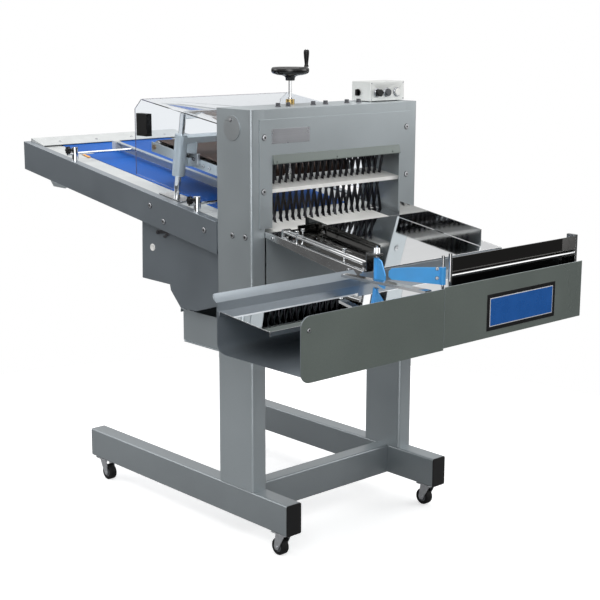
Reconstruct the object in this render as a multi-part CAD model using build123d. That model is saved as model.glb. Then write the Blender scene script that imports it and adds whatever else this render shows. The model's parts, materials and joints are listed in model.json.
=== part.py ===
from build123d import *
import math
import os

# A floor-standing band slicer for bread: an inclined infeed conveyor at the rear, a head with
# crossed endless blades, and a polished outfeed bed that ends in a bagging trough.
# While it is modelled, x = 0 is the machine's centre plane, y = 0 the middle of the columns,
# z = 0 the underside of the feet. -y is the outfeed side, where the operator stands.

# Base and columns
FOOT_WIDTH = 60.0
FOOT_HEIGHT = 100.0
FOOT_FRONT = -244.0
FOOT_REAR = 816.0
PLUG = 3.0
TUBE_WALL = 3.0
TRACK = 330.0
INNER = TRACK - FOOT_WIDTH / 2
OUTER = TRACK + FOOT_WIDTH / 2
CROSS_FRONT = -32.0
CROSS_REAR = 26.0
COLUMN_DEPTH = 165.0
COLUMN_FRONT = -COLUMN_DEPTH / 2
COLUMN_REAR = COLUMN_DEPTH / 2
COLUMN_CORNER = 10.0
HEAD_TOP = 1285.0

# Casters
CASTER_HEIGHT = 80.0
CASTER_Y = {"front": -195.0, "rear": 765.0}
CASTER_TRAIL = {"front": 15.0, "rear": -15.0}
CASTER_PLATE = 56.0
WHEEL_RADIUS = 27.5
WHEEL_WIDTH = 26.0
AXLE_RADIUS = 4.0

# Head
SHEET = 2.5
COVER_HALF = 327.0
COVER_TOP = 1255.0
OPENING_LEFT = -277.0
OPENING_RIGHT = 275.0
OPENING_TOP = 1120.0
VISOR_TOP = 1148.0
FRONT_COVER_BOTTOM = 928.0
REAR_COVER_BOTTOM = 947.0
CHAMBER_BOTTOM = 500.0
CHAMBER_HALF = 295.0

# Blades and drums
UPPER_DRUM_Z = 1226.0
LOWER_DRUM_Z = 734.0
CROSSING_Z = (UPPER_DRUM_Z + LOWER_DRUM_Z) / 2
DRUM_SPAN = (UPPER_DRUM_Z - LOWER_DRUM_Z) / 2
DRUM_RADIUS = 52.0
DRUM_HALF = 270.0
SHAFT_RADIUS = 15.0
BAND_RADIUS = 52.8
BAND_THICKNESS = 1.0
BAND_WIDTH = 12.0
BAND_PITCH = 26.0
BAND_COUNT = 21
RUNNING = 0.06

# Drive
MOTOR_Y = 430.0
MOTOR_Z = 775.0
MOTOR_RADIUS = 65.0
DRUM_PULLEY = 70.0
MOTOR_PULLEY = 35.0
ROLLER_PULLEY = 14.5
SECOND_PULLEY = 20.0
BELT_GAP = 0.3
V_BELT = 2.0

# Infeed conveyor
INFEED_SLOPE = 0.1535
INFEED_START = 88.0
INFEED_END = 1205.0
RAIL_TOP = 935.0
RAIL_HEIGHT = 101.0
RAIL_SHEET = 3.0
RAIL_FLANGE = 30.0
BELT_DROP = 3.0
BELT_HALF = 245.0
BELT_THICKNESS = 1.7
ROLLER_RADIUS = 24.0
ROLLER_SHAFT = 8.0
DRIVE_ROLLER_Y = 125.0
TAIL_ROLLER_Y = 1150.0

# Lane guide and press
LANE_X = -85.0
LANE_FRONT = 165.0
LANE_REAR = 985.0
LANE_POST_X = -338.0
LANE_POST_YS = (206.0, 898.0)
LANE_ROD_RADIUS = 5.0
PRESS_X = 292.0
PRESS_Y = 372.0
PRESS_POST_RADIUS = 10.0
PRESS_POST_TOP = 1254.0
PRESS_SLEEVE_TOP = 1186.0
PRESS_GAP = 102.0
PRESS_ROLLER = 20.0
PRESS_FRONT = 130.0
PRESS_REAR = 543.0

# Clear cover
CLEAR_HALF = 323.0
CLEAR_SHEET = 4.0
CLEAR_FRONT = 119.0
CLEAR_REAR = 554.0
CLEAR_TOP = 1234.0
CLEAR_SLOPE = 0.1417
HINGE_Y = 100.0
HINGE_Z = 1228.0

# Outfeed
OUT_SLOPE = 0.152
OUT_Z = 919.5
OUT_HALF = 300.0
OUT_START = -97.0
OUT_END = -497.0
ARM = 6.0
GUIDE_HEIGHT = 53.0

# Bagging trough
TROUGH_LEFT = -830.0
SEAM = -318.0
BAG_RIGHT = 283.0
TROUGH_FRONT = -818.0
TROUGH_BACK = -503.0
TROUGH_BOTTOM = 703.0
TROUGH_TOP = 856.0
TRAY_FLOOR = 799.0
TRAY_SLOPE = 0.1
TRAY_FRONT = -700.0
TRAY_FOLD = 12.0
TRAY_SHEET = 1.5
TROUGH_BEND = 32.0
TROUGH_CORNER = 20.0
BACK_PIVOT = (-280.0, -530.0)
BACK_REACH = 100.0
FRONT_PIVOT = (-308.0, -800.0)
FRONT_REACH = 143.0

# Head controls and height adjustment
SPINDLE_X = -70.0
SPINDLE_Y = 66.0
SPINDLE_RADIUS = 5.0
CRANK_X = 36.0
CRANK_Y = -36.0
BOX_LEFT = 193.0
BOX_RIGHT = 352.0
BOX_FRONT = -30.0
BOX_REAR = 57.0
BOX_BOTTOM = 1288.0
BOX_TOP = 1349.0
SPEED_X = 224.0
STOP_X = 268.0
START_X = 315.0
CONTROL_Z = 1314.0
SWITCH_Y = 25.0


def block(x0, x1, y0, y1, z0, z1):
    """A box given by its limits."""
    return Pos((x0 + x1) / 2, (y0 + y1) / 2, (z0 + z1) / 2) * Box(x1 - x0, y1 - y0, z1 - z0)


def rod(start, end, radius):
    """A round bar between two points."""
    along = Vector(*end) - Vector(*start)
    plane = Plane(origin=start, z_dir=along)
    return plane * Cylinder(radius, along.length, align=(Align.CENTER, Align.CENTER, Align.MIN))


def tube(start, end, outer, inner):
    """A round bar with a bore."""
    return rod(start, end, outer) - rod(start, end, inner)


def side_prism(points, x0, x1):
    """A (y, z) outline carried along x."""
    return extrude(Plane.YZ.offset(x0) * Polygon(*points, align=None), amount=x1 - x0, dir=(1, 0, 0))


def front_prism(points, y0, y1):
    """An (x, z) outline carried along y."""
    plane = Plane(origin=(0, y0, 0), x_dir=(1, 0, 0), z_dir=(0, -1, 0))
    return extrude(plane * Polygon(*points, align=None), amount=y1 - y0, dir=(0, 1, 0))


def plan_prism(points, z0, z1):
    """An (x, y) outline carried along z."""
    return extrude(Plane.XY.offset(z0) * Polygon(*points, align=None), amount=z1 - z0, dir=(0, 0, 1))


def rail_top(y):
    return RAIL_TOP + INFEED_SLOPE * (y - 86)


def belt_top(y):
    return rail_top(y) - BELT_DROP


def roller_z(y):
    """Height of an infeed roller's axis: one radius under the belt's face."""
    return belt_top(y) - (ROLLER_RADIUS + 2) * math.hypot(1, INFEED_SLOPE)


def press_z(y):
    """Height of a press roller's axis at rest."""
    return belt_top(y) + PRESS_GAP + (PRESS_ROLLER + 2) * math.hypot(1, INFEED_SLOPE)


def out_z(y):
    return OUT_Z + OUT_SLOPE * (y + 80)


def sloped_slab(x0, x1, y0, y1, top, thickness):
    """A plate whose upper face follows the height function."""
    points = [(y0, top(y0)), (y1, top(y1)), (y1, top(y1) - thickness), (y0, top(y0) - thickness)]
    return side_prism(points, x0, x1)


def solids(*shapes):
    """Separate solids kept side by side in one node."""
    found = []
    for shape in shapes:
        found.extend(shape.solids())
    return Compound(children=found)


def two_sided(shape):
    return [shape, mirror(shape, about=Plane.YZ)]


def belt_core(c1, r1, c2, r2, x0, x1):
    """The space inside an open belt around two wheels, whose centres are (y, z)."""
    dy = c2[0] - c1[0]
    dz = c2[1] - c1[1]
    reach = math.hypot(dy, dz)
    heading = math.atan2(dz, dy)
    lean = math.acos((r1 - r2) / reach)
    corners = []
    for side in (1, -1):
        angle = heading + side * lean
        near = (c1[0] + r1 * math.cos(angle), c1[1] + r1 * math.sin(angle))
        far = (c2[0] + r2 * math.cos(angle), c2[1] + r2 * math.sin(angle))
        corners.extend([near, far] if side == 1 else [far, near])
    shape = side_prism(corners, x0, x1)
    for (y, z), radius in ((c1, r1), (c2, r2)):
        shape = shape + rod((x0, y, z), (x1, y, z), radius)
    return shape


def loop(c1, r1, c2, r2, thickness, x0, x1):
    """A closed belt loop; r1 and r2 are its inner radii."""
    outer = belt_core(c1, r1 + thickness, c2, r2 + thickness, x0, x1)
    return outer - belt_core(c1, r1, c2, r2, x0 - 1, x1 + 1)


# Base

def base_tubes():
    """Two foot tubes and the cross tube that ties them."""
    foot = block(-OUTER, -INNER, FOOT_FRONT + PLUG, FOOT_REAR - PLUG, 0, FOOT_HEIGHT)
    foot = fillet(foot.edges().filter_by(Axis.Y), 6)
    foot = foot - block(-OUTER + TUBE_WALL, -INNER - TUBE_WALL, FOOT_FRONT, FOOT_REAR,
                        TUBE_WALL, FOOT_HEIGHT - TUBE_WALL)
    cross = block(-INNER, INNER, CROSS_FRONT, CROSS_REAR, 0, FOOT_HEIGHT)
    cross = fillet(cross.edges().filter_by(Axis.X), 6)
    cross = cross - block(-INNER, INNER, CROSS_FRONT + TUBE_WALL, CROSS_REAR - TUBE_WALL,
                          TUBE_WALL, FOOT_HEIGHT - TUBE_WALL)
    return solids(*two_sided(foot), cross)


def foot_end_plugs():
    plugs = []
    for outside, inside in ((FOOT_FRONT, FOOT_FRONT + PLUG), (FOOT_REAR, FOOT_REAR - PLUG)):
        cap = block(-OUTER, -INNER, min(outside, inside), max(outside, inside), 0, FOOT_HEIGHT)
        cap = fillet(cap.edges().filter_by(Axis.Y), 6)
        plugs.extend(two_sided(cap))
    return solids(*plugs)


def columns():
    post = block(-OUTER, -INNER, COLUMN_FRONT, COLUMN_REAR, FOOT_HEIGHT, HEAD_TOP)
    post = fillet(post.edges().filter_by(Axis.Z), COLUMN_CORNER)
    post = post - block(-OUTER + TUBE_WALL, -INNER - TUBE_WALL, COLUMN_FRONT + TUBE_WALL,
                        COLUMN_REAR - TUBE_WALL, FOOT_HEIGHT, HEAD_TOP - TUBE_WALL)
    return solids(*two_sided(post))


def caster_plates():
    """Four mounting plates, each with the kingpin its fork turns on."""
    made = []
    for place in CASTER_Y.values():
        y = place
        half = CASTER_PLATE / 2
        plate = block(-TRACK - half, -TRACK + half, y - half, y + half, -4, 0)
        pin = rod((-TRACK, y, -16), (-TRACK, y, -4), 5)
        made.extend(two_sided(plate + pin))
    return solids(*made)


def caster_fork(x, y, trail):
    """Swivel head, two cheeks and the axle bolt."""
    top = -4.3
    head = tube((x, y, -13), (x, y, top), 19, 5 + RUNNING)
    axle_z = WHEEL_RADIUS - CASTER_HEIGHT
    shape = head
    for side in (-1, 1):
        inside = WHEEL_WIDTH / 2 + 1
        x0 = x + side * inside
        x1 = x + side * (inside + 3)
        outline = [(y - 19, -10), (y + 19, -10), (y + trail + 11, axle_z), (y + trail + 6, axle_z - 9),
                   (y + trail - 6, axle_z - 9), (y + trail - 11, axle_z)]
        shape = shape + side_prism(outline, min(x0, x1), max(x0, x1))
    reach = WHEEL_WIDTH / 2 + 6
    return shape + rod((x - reach, y + trail, axle_z), (x + reach, y + trail, axle_z), AXLE_RADIUS)


def caster_wheel(x, y, trail):
    axle_z = WHEEL_RADIUS - CASTER_HEIGHT
    half = WHEEL_WIDTH / 2
    start = (x - half, y + trail, axle_z)
    end = (x + half, y + trail, axle_z)
    wheel = tube(start, end, WHEEL_RADIUS, AXLE_RADIUS + RUNNING)
    rims = wheel.edges().filter_by(GeomType.CIRCLE).sort_by(SortBy.RADIUS)[-2:]
    return fillet(rims, 3)


# Head casing

def top_cover():
    plate = block(-INNER, INNER, COLUMN_FRONT + 2, COLUMN_REAR - 2, HEAD_TOP - SHEET, HEAD_TOP)
    front = block(-INNER, INNER, COLUMN_FRONT + 2, COLUMN_FRONT + 2 + SHEET, HEAD_TOP - 45, HEAD_TOP)
    rear = block(-INNER, INNER, COLUMN_REAR - 2 - SHEET, COLUMN_REAR - 2, HEAD_TOP - 45, HEAD_TOP)
    shell = plate + front + rear
    return shell - rod((SPINDLE_X, SPINDLE_Y, 1270), (SPINDLE_X, SPINDLE_Y, 1290), SPINDLE_RADIUS + RUNNING)


def cover_plate(y0, bottom):
    """A plate with the bread opening cut out of its lower edge."""
    outline = [(-COVER_HALF, COVER_TOP), (-COVER_HALF, bottom), (OPENING_LEFT, bottom),
               (OPENING_LEFT, OPENING_TOP), (OPENING_RIGHT, OPENING_TOP), (OPENING_RIGHT, bottom),
               (COVER_HALF, bottom), (COVER_HALF, COVER_TOP)]
    return front_prism(outline, y0, y0 + SHEET)


def front_cover():
    return cover_plate(COLUMN_FRONT - SHEET, FRONT_COVER_BOTTOM)


def visor():
    """Folded strip over the top edge of the front opening."""
    face = COLUMN_FRONT - SHEET
    outline = [(face, VISOR_TOP), (face - 1.5, VISOR_TOP), (face - 7, OPENING_TOP + 2),
               (face - 7, OPENING_TOP), (face, OPENING_TOP)]
    strip = side_prism(outline, OPENING_LEFT + 1, OPENING_RIGHT - 1)
    for x in (-264, -13, 237):
        strip = strip - rod((x, face - 10, 1127), (x, face - 4, 1127), 2.5)
    return strip


def rear_cover():
    """Rear plate with the two hinge lugs and pins of the clear cover."""
    shape = cover_plate(COLUMN_REAR, REAR_COVER_BOTTOM)
    for side in (-1, 1):
        x0 = side * 190
        x1 = side * 250
        shape = shape + rod((x0, HINGE_Y, HINGE_Z), (x1, HINGE_Y, HINGE_Z), 3)
        for edge in (190, 244):
            low = min(side * edge, side * (edge + 6))
            lug = block(low, low + 6, COLUMN_REAR, HINGE_Y + 5, HINGE_Z - 6, HINGE_Z + 4)
            shape = shape + lug
    return shape


def chamber_panels():
    """Front, rear and belly sheets of the lower drum chamber, and the drawer's two ledges."""
    front = block(-CHAMBER_HALF, CHAMBER_HALF, -78, -78 + SHEET, CHAMBER_BOTTOM, 902)
    rear = block(-CHAMBER_HALF, 255, 78 - SHEET, 78, 615, 925)
    belly = block(-CHAMBER_HALF, CHAMBER_HALF, -78 + SHEET, 78, CHAMBER_BOTTOM - SHEET, CHAMBER_BOTTOM - 0.5)
    ledge = block(-296, -262, -72, 340, CHAMBER_BOTTOM - 0.5, CHAMBER_BOTTOM + 3.5)
    return solids(front, rear, belly, *two_sided(ledge))


def drum(z):
    body = rod((-DRUM_HALF, 0, z), (DRUM_HALF, 0, z), DRUM_RADIUS)
    return body + rod((-297, 0, z), (297, 0, z), SHAFT_RADIUS)


def upper_drum():
    return drum(UPPER_DRUM_Z)


def lower_drum():
    """Drum with the driven pulley at its right end."""
    return drum(LOWER_DRUM_Z) + rod((272, 0, LOWER_DRUM_Z), (288, 0, LOWER_DRUM_Z), DRUM_PULLEY)


def bearing_blocks():
    made = []
    for z in (UPPER_DRUM_Z, LOWER_DRUM_Z):
        housing = block(-INNER, -290.5, -38, 38, z - 38, z + 38)
        housing = housing - rod((-301, 0, z), (-289, 0, z), SHAFT_RADIUS + RUNNING)
        made.extend(two_sided(housing))
    for y in (DRIVE_ROLLER_Y, TAIL_ROLLER_Y):
        z = roller_z(y)
        housing = block(-OUTER + RAIL_SHEET, -334, y - 20, y + 20, z - 18, z + 18)
        housing = housing - rod((-358, y, z), (-333, y, z), ROLLER_SHAFT + RUNNING)
        made.extend(two_sided(housing))
    return solids(*made)


def blade_band():
    """One endless band: two crossing strands and the wrap around each drum."""
    lean = math.asin(BAND_RADIUS / DRUM_SPAN)
    tangent = DRUM_SPAN * math.cos(lean)
    strand_end = 205.0
    wide = 2 * BAND_RADIUS
    ring = Circle(BAND_RADIUS + BAND_THICKNESS / 2) - Circle(BAND_RADIUS - BAND_THICKNESS / 2)
    side = (wide * math.cos(lean), -wide * math.sin(lean))
    wedge = Polygon((0, 0), side, (side[0], -wide), (-side[0], -wide), (-side[0], side[1]), align=None)
    half = BAND_PITCH / 4 + 0.5
    wrap = extrude(Plane.YZ.offset(-half) * (Pos(0, DRUM_SPAN) * (ring - wedge)), amount=2 * half,
                   dir=(1, 0, 0))
    pieces = wrap + Rot(180, 0, 0) * wrap
    for x, turn in ((-BAND_PITCH / 4, math.degrees(lean)), (BAND_PITCH / 4, -math.degrees(lean))):
        strand = Box(BAND_THICKNESS * 0.8, BAND_WIDTH, 2 * strand_end)
        neck = Box(3, BAND_THICKNESS * 0.8, 2 * tangent)
        pieces = pieces + Pos(x, 0, 0) * (Rot(turn, 0, 0) * (strand + neck))
    return Pos(0, 0, CROSSING_Z) * pieces


def band_xs():
    return [BAND_PITCH * (k - (BAND_COUNT - 1) / 2) for k in range(BAND_COUNT)]


def blade_bands():
    band = blade_band()
    return solids(*[Pos(x, 0, 0) * band for x in band_xs()])


def notched_plate(x0, x1, plain, notched, notch_end, xs, width):
    """A flat plate whose inner edge has one notch for each strand."""
    points = [(x0, plain), (x0, notched)]
    for x in xs:
        if x0 + width < x < x1 - width:
            points.extend([(x - width / 2, notched), (x - width / 2, notch_end),
                           (x + width / 2, notch_end), (x + width / 2, notched)])
    points.extend([(x1, notched), (x1, plain)])
    return points


def tilt(shape, y, z):
    """Lay a flat plate on the bread path's slope, with its y = 0 line at the given height."""
    return Pos(0, y, z) * (Rot(math.degrees(math.atan(OUT_SLOPE)), 0, 0) * shape)


def lower_blade_guide():
    """Fixed plastic guide plates in front of and behind the blades, and a steel end piece."""
    thickness = 12
    level = 917 + OUT_SLOPE * 94 - thickness
    back = [x - BAND_PITCH / 4 for x in band_xs()]
    front = [x + BAND_PITCH / 4 for x in band_xs()]
    near = plan_prism(notched_plate(-270, 222, -93, -2, -24, front, 4), 0, thickness)
    steel = plan_prism(notched_plate(223, 292, -93, -2, -24, front, 4), thickness - 3, thickness)
    far = plan_prism(notched_plate(-276, 270, 88, 2, 24, back, 4), 0, thickness)
    return solids(*[tilt(shape, 0, level) for shape in (near, steel, far)])


def upper_blade_guide():
    """Movable plastic guide: two notched plates on two end bars, and the nut of its spindle."""
    thickness = 12
    level = 1054 - thickness
    front = [x - BAND_PITCH / 4 for x in band_xs()]
    back = [x + BAND_PITCH / 4 for x in band_xs()]
    near = plan_prism(notched_plate(-276, 276, -70, -2, -30, front, 4), 0, thickness)
    far = plan_prism(notched_plate(-276, 276, 56, 2, 30, back, 4), 0, thickness)
    shape = near + far
    for x0, x1 in ((-288, -276), (276, 288)):
        shape = shape + block(x0, x1, -70, 56, 0, thickness)
    shape = shape + block(SPINDLE_X - 14, SPINDLE_X + 14, 54, 78, 0, thickness)
    shape = tilt(shape, 0, level)
    low = (SPINDLE_X, SPINDLE_Y, level - 10)
    return shape - rod(low, (SPINDLE_X, SPINDLE_Y, level + 60), SPINDLE_RADIUS + RUNNING)


def handwheel():
    """Dished handwheel on its spindle."""
    x, y = SPINDLE_X, SPINDLE_Y
    rim = tube((x, y, 1380), (x, y, 1400), 60, 46)
    rim = fillet(rim.edges().filter_by(GeomType.CIRCLE), 5)
    web = rod((x, y, 1376), (x, y, 1384), 48)
    hub = rod((x, y, 1358), (x, y, 1378), 15)
    spindle = rod((x, y, 1036), (x, y, 1359), SPINDLE_RADIUS)
    collar = rod((x, y, 1301.5), (x, y, 1306), 9)
    crank_pin = rod((x + CRANK_X, y + CRANK_Y, 1382), (x + CRANK_X, y + CRANK_Y, 1456), 3)
    return rim + web + hub + spindle + collar + crank_pin


def crank_handle():
    x, y = SPINDLE_X + CRANK_X, SPINDLE_Y + CRANK_Y
    grip = tube((x, y, 1400.5), (x, y, 1454), 9, 3 + RUNNING)
    grip = fillet(grip.edges().filter_by(GeomType.CIRCLE).sort_by(SortBy.RADIUS)[-2:], 4)
    return grip


# Controls

def control_box():
    shell = block(BOX_LEFT, BOX_RIGHT, BOX_FRONT, BOX_REAR, BOX_BOTTOM, BOX_TOP)
    shell = fillet(shell.edges().filter_by(Axis.Z), 4)
    feet = []
    for x in (BOX_LEFT + 15, BOX_RIGHT - 15):
        for y in (BOX_FRONT + 15, BOX_REAR - 15):
            feet.append(rod((x, y, HEAD_TOP), (x, y, BOX_BOTTOM), 6))
    for x in (SPEED_X, STOP_X, START_X):
        shell = shell - rod((x, BOX_FRONT - 1, CONTROL_Z), (x, BOX_FRONT + 12, CONTROL_Z), 6.5)
    shell = shell - rod((BOX_LEFT - 1, SWITCH_Y, CONTROL_Z), (BOX_LEFT + 12, SWITCH_Y, CONTROL_Z), 6.5)
    for foot in feet:
        shell = shell + foot
    return shell


def front_control(x, head_radius, head_length):
    """A control on the box's front face, its stem in the face's hole."""
    stem = rod((x, BOX_FRONT + 8, CONTROL_Z), (x, BOX_FRONT - 5, CONTROL_Z), 6)
    head = rod((x, BOX_FRONT - 5, CONTROL_Z), (x, BOX_FRONT - 5 - head_length, CONTROL_Z), head_radius)
    return stem + fillet(head.edges().filter_by(GeomType.CIRCLE), 1.5)


def speed_knob():
    return front_control(SPEED_X, 12, 14)


def stop_button():
    return front_control(STOP_X, 12, 8)


def start_button():
    return front_control(START_X, 12, 4)


def power_switch():
    """Turn switch on the box's left face: a round base with a grip bar."""
    stem = rod((BOX_LEFT + 8, SWITCH_Y, CONTROL_Z), (BOX_LEFT - 1, SWITCH_Y, CONTROL_Z), 6)
    base = rod((BOX_LEFT - 1, SWITCH_Y, CONTROL_Z), (BOX_LEFT - 5, SWITCH_Y, CONTROL_Z), 11)
    bar = block(BOX_LEFT - 13, BOX_LEFT - 5, SWITCH_Y - 3, SWITCH_Y + 3, CONTROL_Z - 10, CONTROL_Z + 10)
    return stem + base + bar


# Drive

def motor():
    body = rod((20, MOTOR_Y, MOTOR_Z), (262, MOTOR_Y, MOTOR_Z), MOTOR_RADIUS)
    fan_cowl = rod((-20, MOTOR_Y, MOTOR_Z), (20, MOTOR_Y, MOTOR_Z), MOTOR_RADIUS + 3)
    feet = block(60, 220, MOTOR_Y - 50, MOTOR_Y + 50, 696, MOTOR_Z - 40)
    return body + fan_cowl + feet


def motor_pulley():
    """Motor shaft with the two driving pulleys."""
    shape = rod((262.3, MOTOR_Y, MOTOR_Z), (304, MOTOR_Y, MOTOR_Z), 9)
    shape = shape + rod((272, MOTOR_Y, MOTOR_Z), (288, MOTOR_Y, MOTOR_Z), MOTOR_PULLEY)
    return shape + rod((292, MOTOR_Y, MOTOR_Z), (304, MOTOR_Y, MOTOR_Z), SECOND_PULLEY)


def drive_belts():
    """One belt from the motor to the lower drum, one to the infeed's drive roller."""
    motor_axis = (MOTOR_Y, MOTOR_Z)
    roller_axis = (DRIVE_ROLLER_Y, roller_z(DRIVE_ROLLER_Y))
    main = loop((0, LOWER_DRUM_Z), DRUM_PULLEY + BELT_GAP, motor_axis, MOTOR_PULLEY + BELT_GAP,
                V_BELT, 273, 287)
    second = loop(roller_axis, ROLLER_PULLEY + BELT_GAP, motor_axis, SECOND_PULLEY + BELT_GAP,
                  V_BELT, 293, 303)
    return solids(main, second)


def drive_housing():
    """Sheet housing under the infeed, open towards the columns and under the bed."""
    outline = [(88, 849), (88, 669), (120, 659), (231, 625), (310, 623), (363, 675), (367, 693),
               (520, 694), (514, 913)]
    skin = 2.0
    inner = offset(Polygon(*outline, align=None), amount=-skin, kind=Kind.INTERSECTION)
    inside = extrude(Plane.YZ.offset(-TRACK + skin) * inner, amount=2 * (TRACK - skin), dir=(1, 0, 0))
    shell = side_prism(outline, -TRACK, TRACK) - inside
    shell = shell - block(-TRACK + skin, TRACK - skin, 92, 512, 830, 930)
    shell = shell - block(-TRACK + skin, TRACK - skin, 80, 92, 680, 900)
    shell = shell - block(264, 298, 80, 92, 672, 690)
    gland = rod((200, 517, 730), (200, 534, 730), 11)
    return solids(shell, gland)


def crumb_drawer():
    """Open-topped drawer that pulls out to the rear."""
    wall = 1.5
    shell = block(-292, 292, -70, 347, 504, 608)
    shell = shell - block(-292 + wall, 292 - wall, -70 + wall, 347 - wall, 504 + wall, 609)
    lip = block(-292, 292, 347, 362, 606.5, 608) + block(-292, 292, 360.5, 362, 596, 608)
    return shell + lip


# Infeed

def rail(x_web, x_in):
    """A folded channel with its flanges turned inwards."""
    low = min(x_web, x_in)
    high = max(x_web, x_in)
    ends = (INFEED_START, INFEED_END)
    shape = sloped_slab(low, high, ends[0], ends[1], rail_top, RAIL_HEIGHT)
    hollow_low = low + RAIL_SHEET if x_web < x_in else low
    hollow_high = high if x_web < x_in else high - RAIL_SHEET
    hollow = sloped_slab(hollow_low, hollow_high, ends[0] - 5, ends[1] + 5,
                         lambda y: rail_top(y) - RAIL_SHEET, RAIL_HEIGHT - 2 * RAIL_SHEET)
    return shape - hollow


def infeed_rails():
    left = rail(-OUTER, -OUTER + RAIL_FLANGE)
    flange = block(-OUTER + RAIL_SHEET, -OUTER + RAIL_FLANGE, COLUMN_REAR, INFEED_START + 3, 850, 930)
    return solids(*two_sided(left + flange))


def infeed_bed():
    """Pale slider plate under the belt, with a margin on each side of it."""
    edge = OUTER - RAIL_FLANGE - 1

    def top(y):
        return belt_top(y) - 2.1

    plate = sloped_slab(-edge, edge, 92, 1198, top, 3)
    plate = plate - block(-252, 252, 80, 157, 900, 1000)
    plate = plate - block(-252, 252, 1118, 1210, 1000, 1200)
    return plate


def infeed_belt():
    inner = ROLLER_RADIUS + BELT_GAP
    return loop((DRIVE_ROLLER_Y, roller_z(DRIVE_ROLLER_Y)), inner, (TAIL_ROLLER_Y, roller_z(TAIL_ROLLER_Y)),
                inner, BELT_THICKNESS, -BELT_HALF, BELT_HALF)


def infeed_roller(y):
    z = roller_z(y)
    return rod((-247, y, z), (247, y, z), ROLLER_RADIUS) + rod((-352, y, z), (352, y, z), ROLLER_SHAFT)


def drive_roller():
    z = roller_z(DRIVE_ROLLER_Y)
    pulley = rod((292, DRIVE_ROLLER_Y, z), (304, DRIVE_ROLLER_Y, z), ROLLER_PULLEY)
    return infeed_roller(DRIVE_ROLLER_Y) + pulley


def infeed_end_cover():
    """Pale folded sheet over the tail roller."""
    edge = OUTER - RAIL_FLANGE - 1
    outer = [(1120, belt_top(1120) + 5), (1160, belt_top(1160) + 9), (1204, 1117), (1204, 1012),
             (1202, 1012), (1202, 1114.5), (1160, belt_top(1160) + 7), (1120, belt_top(1120) + 3)]
    sheet = side_prism(outer, -edge, edge)
    tab = [(1120, belt_top(1120) + 5), (1160, belt_top(1160) + 9), (1198, belt_top(1198) + 9),
           (1198, belt_top(1198) - 2.1), (1120, belt_top(1120) - 2.1)]
    return sheet + side_prism(tab, -edge, -edge + 2) + side_prism(tab, edge - 2, edge)


def lane_guide():
    """Bread guide: an angle bar, its end block and the two rods that slide in the posts."""
    face = sloped_slab(LANE_X, LANE_X + 3, LANE_FRONT, LANE_REAR, lambda y: belt_top(y) + 34, 30)
    top = sloped_slab(LANE_X - 14, LANE_X + 3, LANE_FRONT, LANE_REAR, lambda y: belt_top(y) + 34, 3)
    end = sloped_slab(LANE_X - 22, LANE_X + 3, LANE_REAR, LANE_REAR + 22, lambda y: belt_top(y) + 36, 32)
    shape = face + top + end
    for y in LANE_POST_YS:
        z = rail_top(y) + 24
        shape = shape + rod((-370, y, z), (LANE_X + 1, y, z), LANE_ROD_RADIUS)
    return shape


def leaned(shape):
    """The shape turned about the feet of the tall posts, so that it stands square to the belt."""
    foot_z = belt_top(PRESS_Y)
    back = Pos(0, -PRESS_Y, -foot_z) * shape
    return Pos(0, PRESS_Y, foot_z) * (Rot(math.degrees(math.atan(INFEED_SLOPE)), 0, 0) * back)


def infeed_posts():
    """Two short posts for the lane guide, and the press's two tall ones with feet and a tie bar."""
    made = []
    for y in LANE_POST_YS:
        base = rail_top(y) - 1.5
        post = rod((LANE_POST_X, y, base), (LANE_POST_X, y, rail_top(y) + 46), 11)
        post = post - rod((-352, y, rail_top(y) + 24), (-324, y, rail_top(y) + 24), LANE_ROD_RADIUS + 0.3)
        made.append(post - sloped_slab(-352, -324, y - 15, y + 15, rail_top, 6))
    foot = sloped_slab(-PRESS_X - 30, -PRESS_X + 30, PRESS_Y - 55, PRESS_Y + 55,
                       lambda y: belt_top(y) + 4, 6.1)
    foot_z = belt_top(PRESS_Y) + 2
    post = rod((-PRESS_X, PRESS_Y, foot_z), (-PRESS_X, PRESS_Y, PRESS_POST_TOP), PRESS_POST_RADIUS)
    tie = block(-PRESS_X, PRESS_X, PRESS_Y - 8, PRESS_Y + 8, PRESS_POST_TOP - 16, PRESS_POST_TOP)
    left, right = two_sided(foot + leaned(post))
    return solids(*made, left + leaned(tie) + right)


def press_frame():
    """Side bars with an upright, cross beam, brackets and the sleeves on the tall posts."""
    end = PRESS_REAR + 18
    before, behind = PRESS_Y - 30, PRESS_Y + 30
    level = press_z(PRESS_Y)
    beam = block(-PRESS_X - 8, PRESS_X + 8, PRESS_Y - 22, PRESS_Y + 22, 1160, 1180)
    upright = block(-251, -247, before, behind, level, 1164)
    bracket = block(-PRESS_X + 18, -247, PRESS_Y - 24, PRESS_Y + 24, level - 16, level + 12)
    sleeve = rod((-PRESS_X, PRESS_Y, 1051), (-PRESS_X, PRESS_Y, PRESS_SLEEVE_TOP), 21)
    for piece in two_sided(upright + bracket + sleeve):
        beam = beam + piece
    for x in (-PRESS_X, PRESS_X):
        beam = beam - rod((x, PRESS_Y, 1040), (x, PRESS_Y, 1200), PRESS_POST_RADIUS + RUNNING)
    bar = [(106, press_z(106) - 18), (end, press_z(end) - 18), (end, press_z(end) + 14),
           (106, press_z(106) + 14)]
    shape = leaned(beam) + side_prism(bar, -251, -247) + side_prism(bar, 247, 251)
    for y in (PRESS_FRONT, PRESS_REAR):
        shape = shape - rod((-260, y, press_z(y)), (260, y, press_z(y)), ROLLER_SHAFT + RUNNING)
    return shape


def press_roller(y):
    z = press_z(y)
    return rod((-240, y, z), (240, y, z), PRESS_ROLLER) + rod((-256, y, z), (256, y, z), ROLLER_SHAFT)


def press_belt():
    inner = PRESS_ROLLER + BELT_GAP
    return loop((PRESS_FRONT, press_z(PRESS_FRONT)), inner, (PRESS_REAR, press_z(PRESS_REAR)), inner,
                BELT_THICKNESS, -235, 235)


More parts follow.
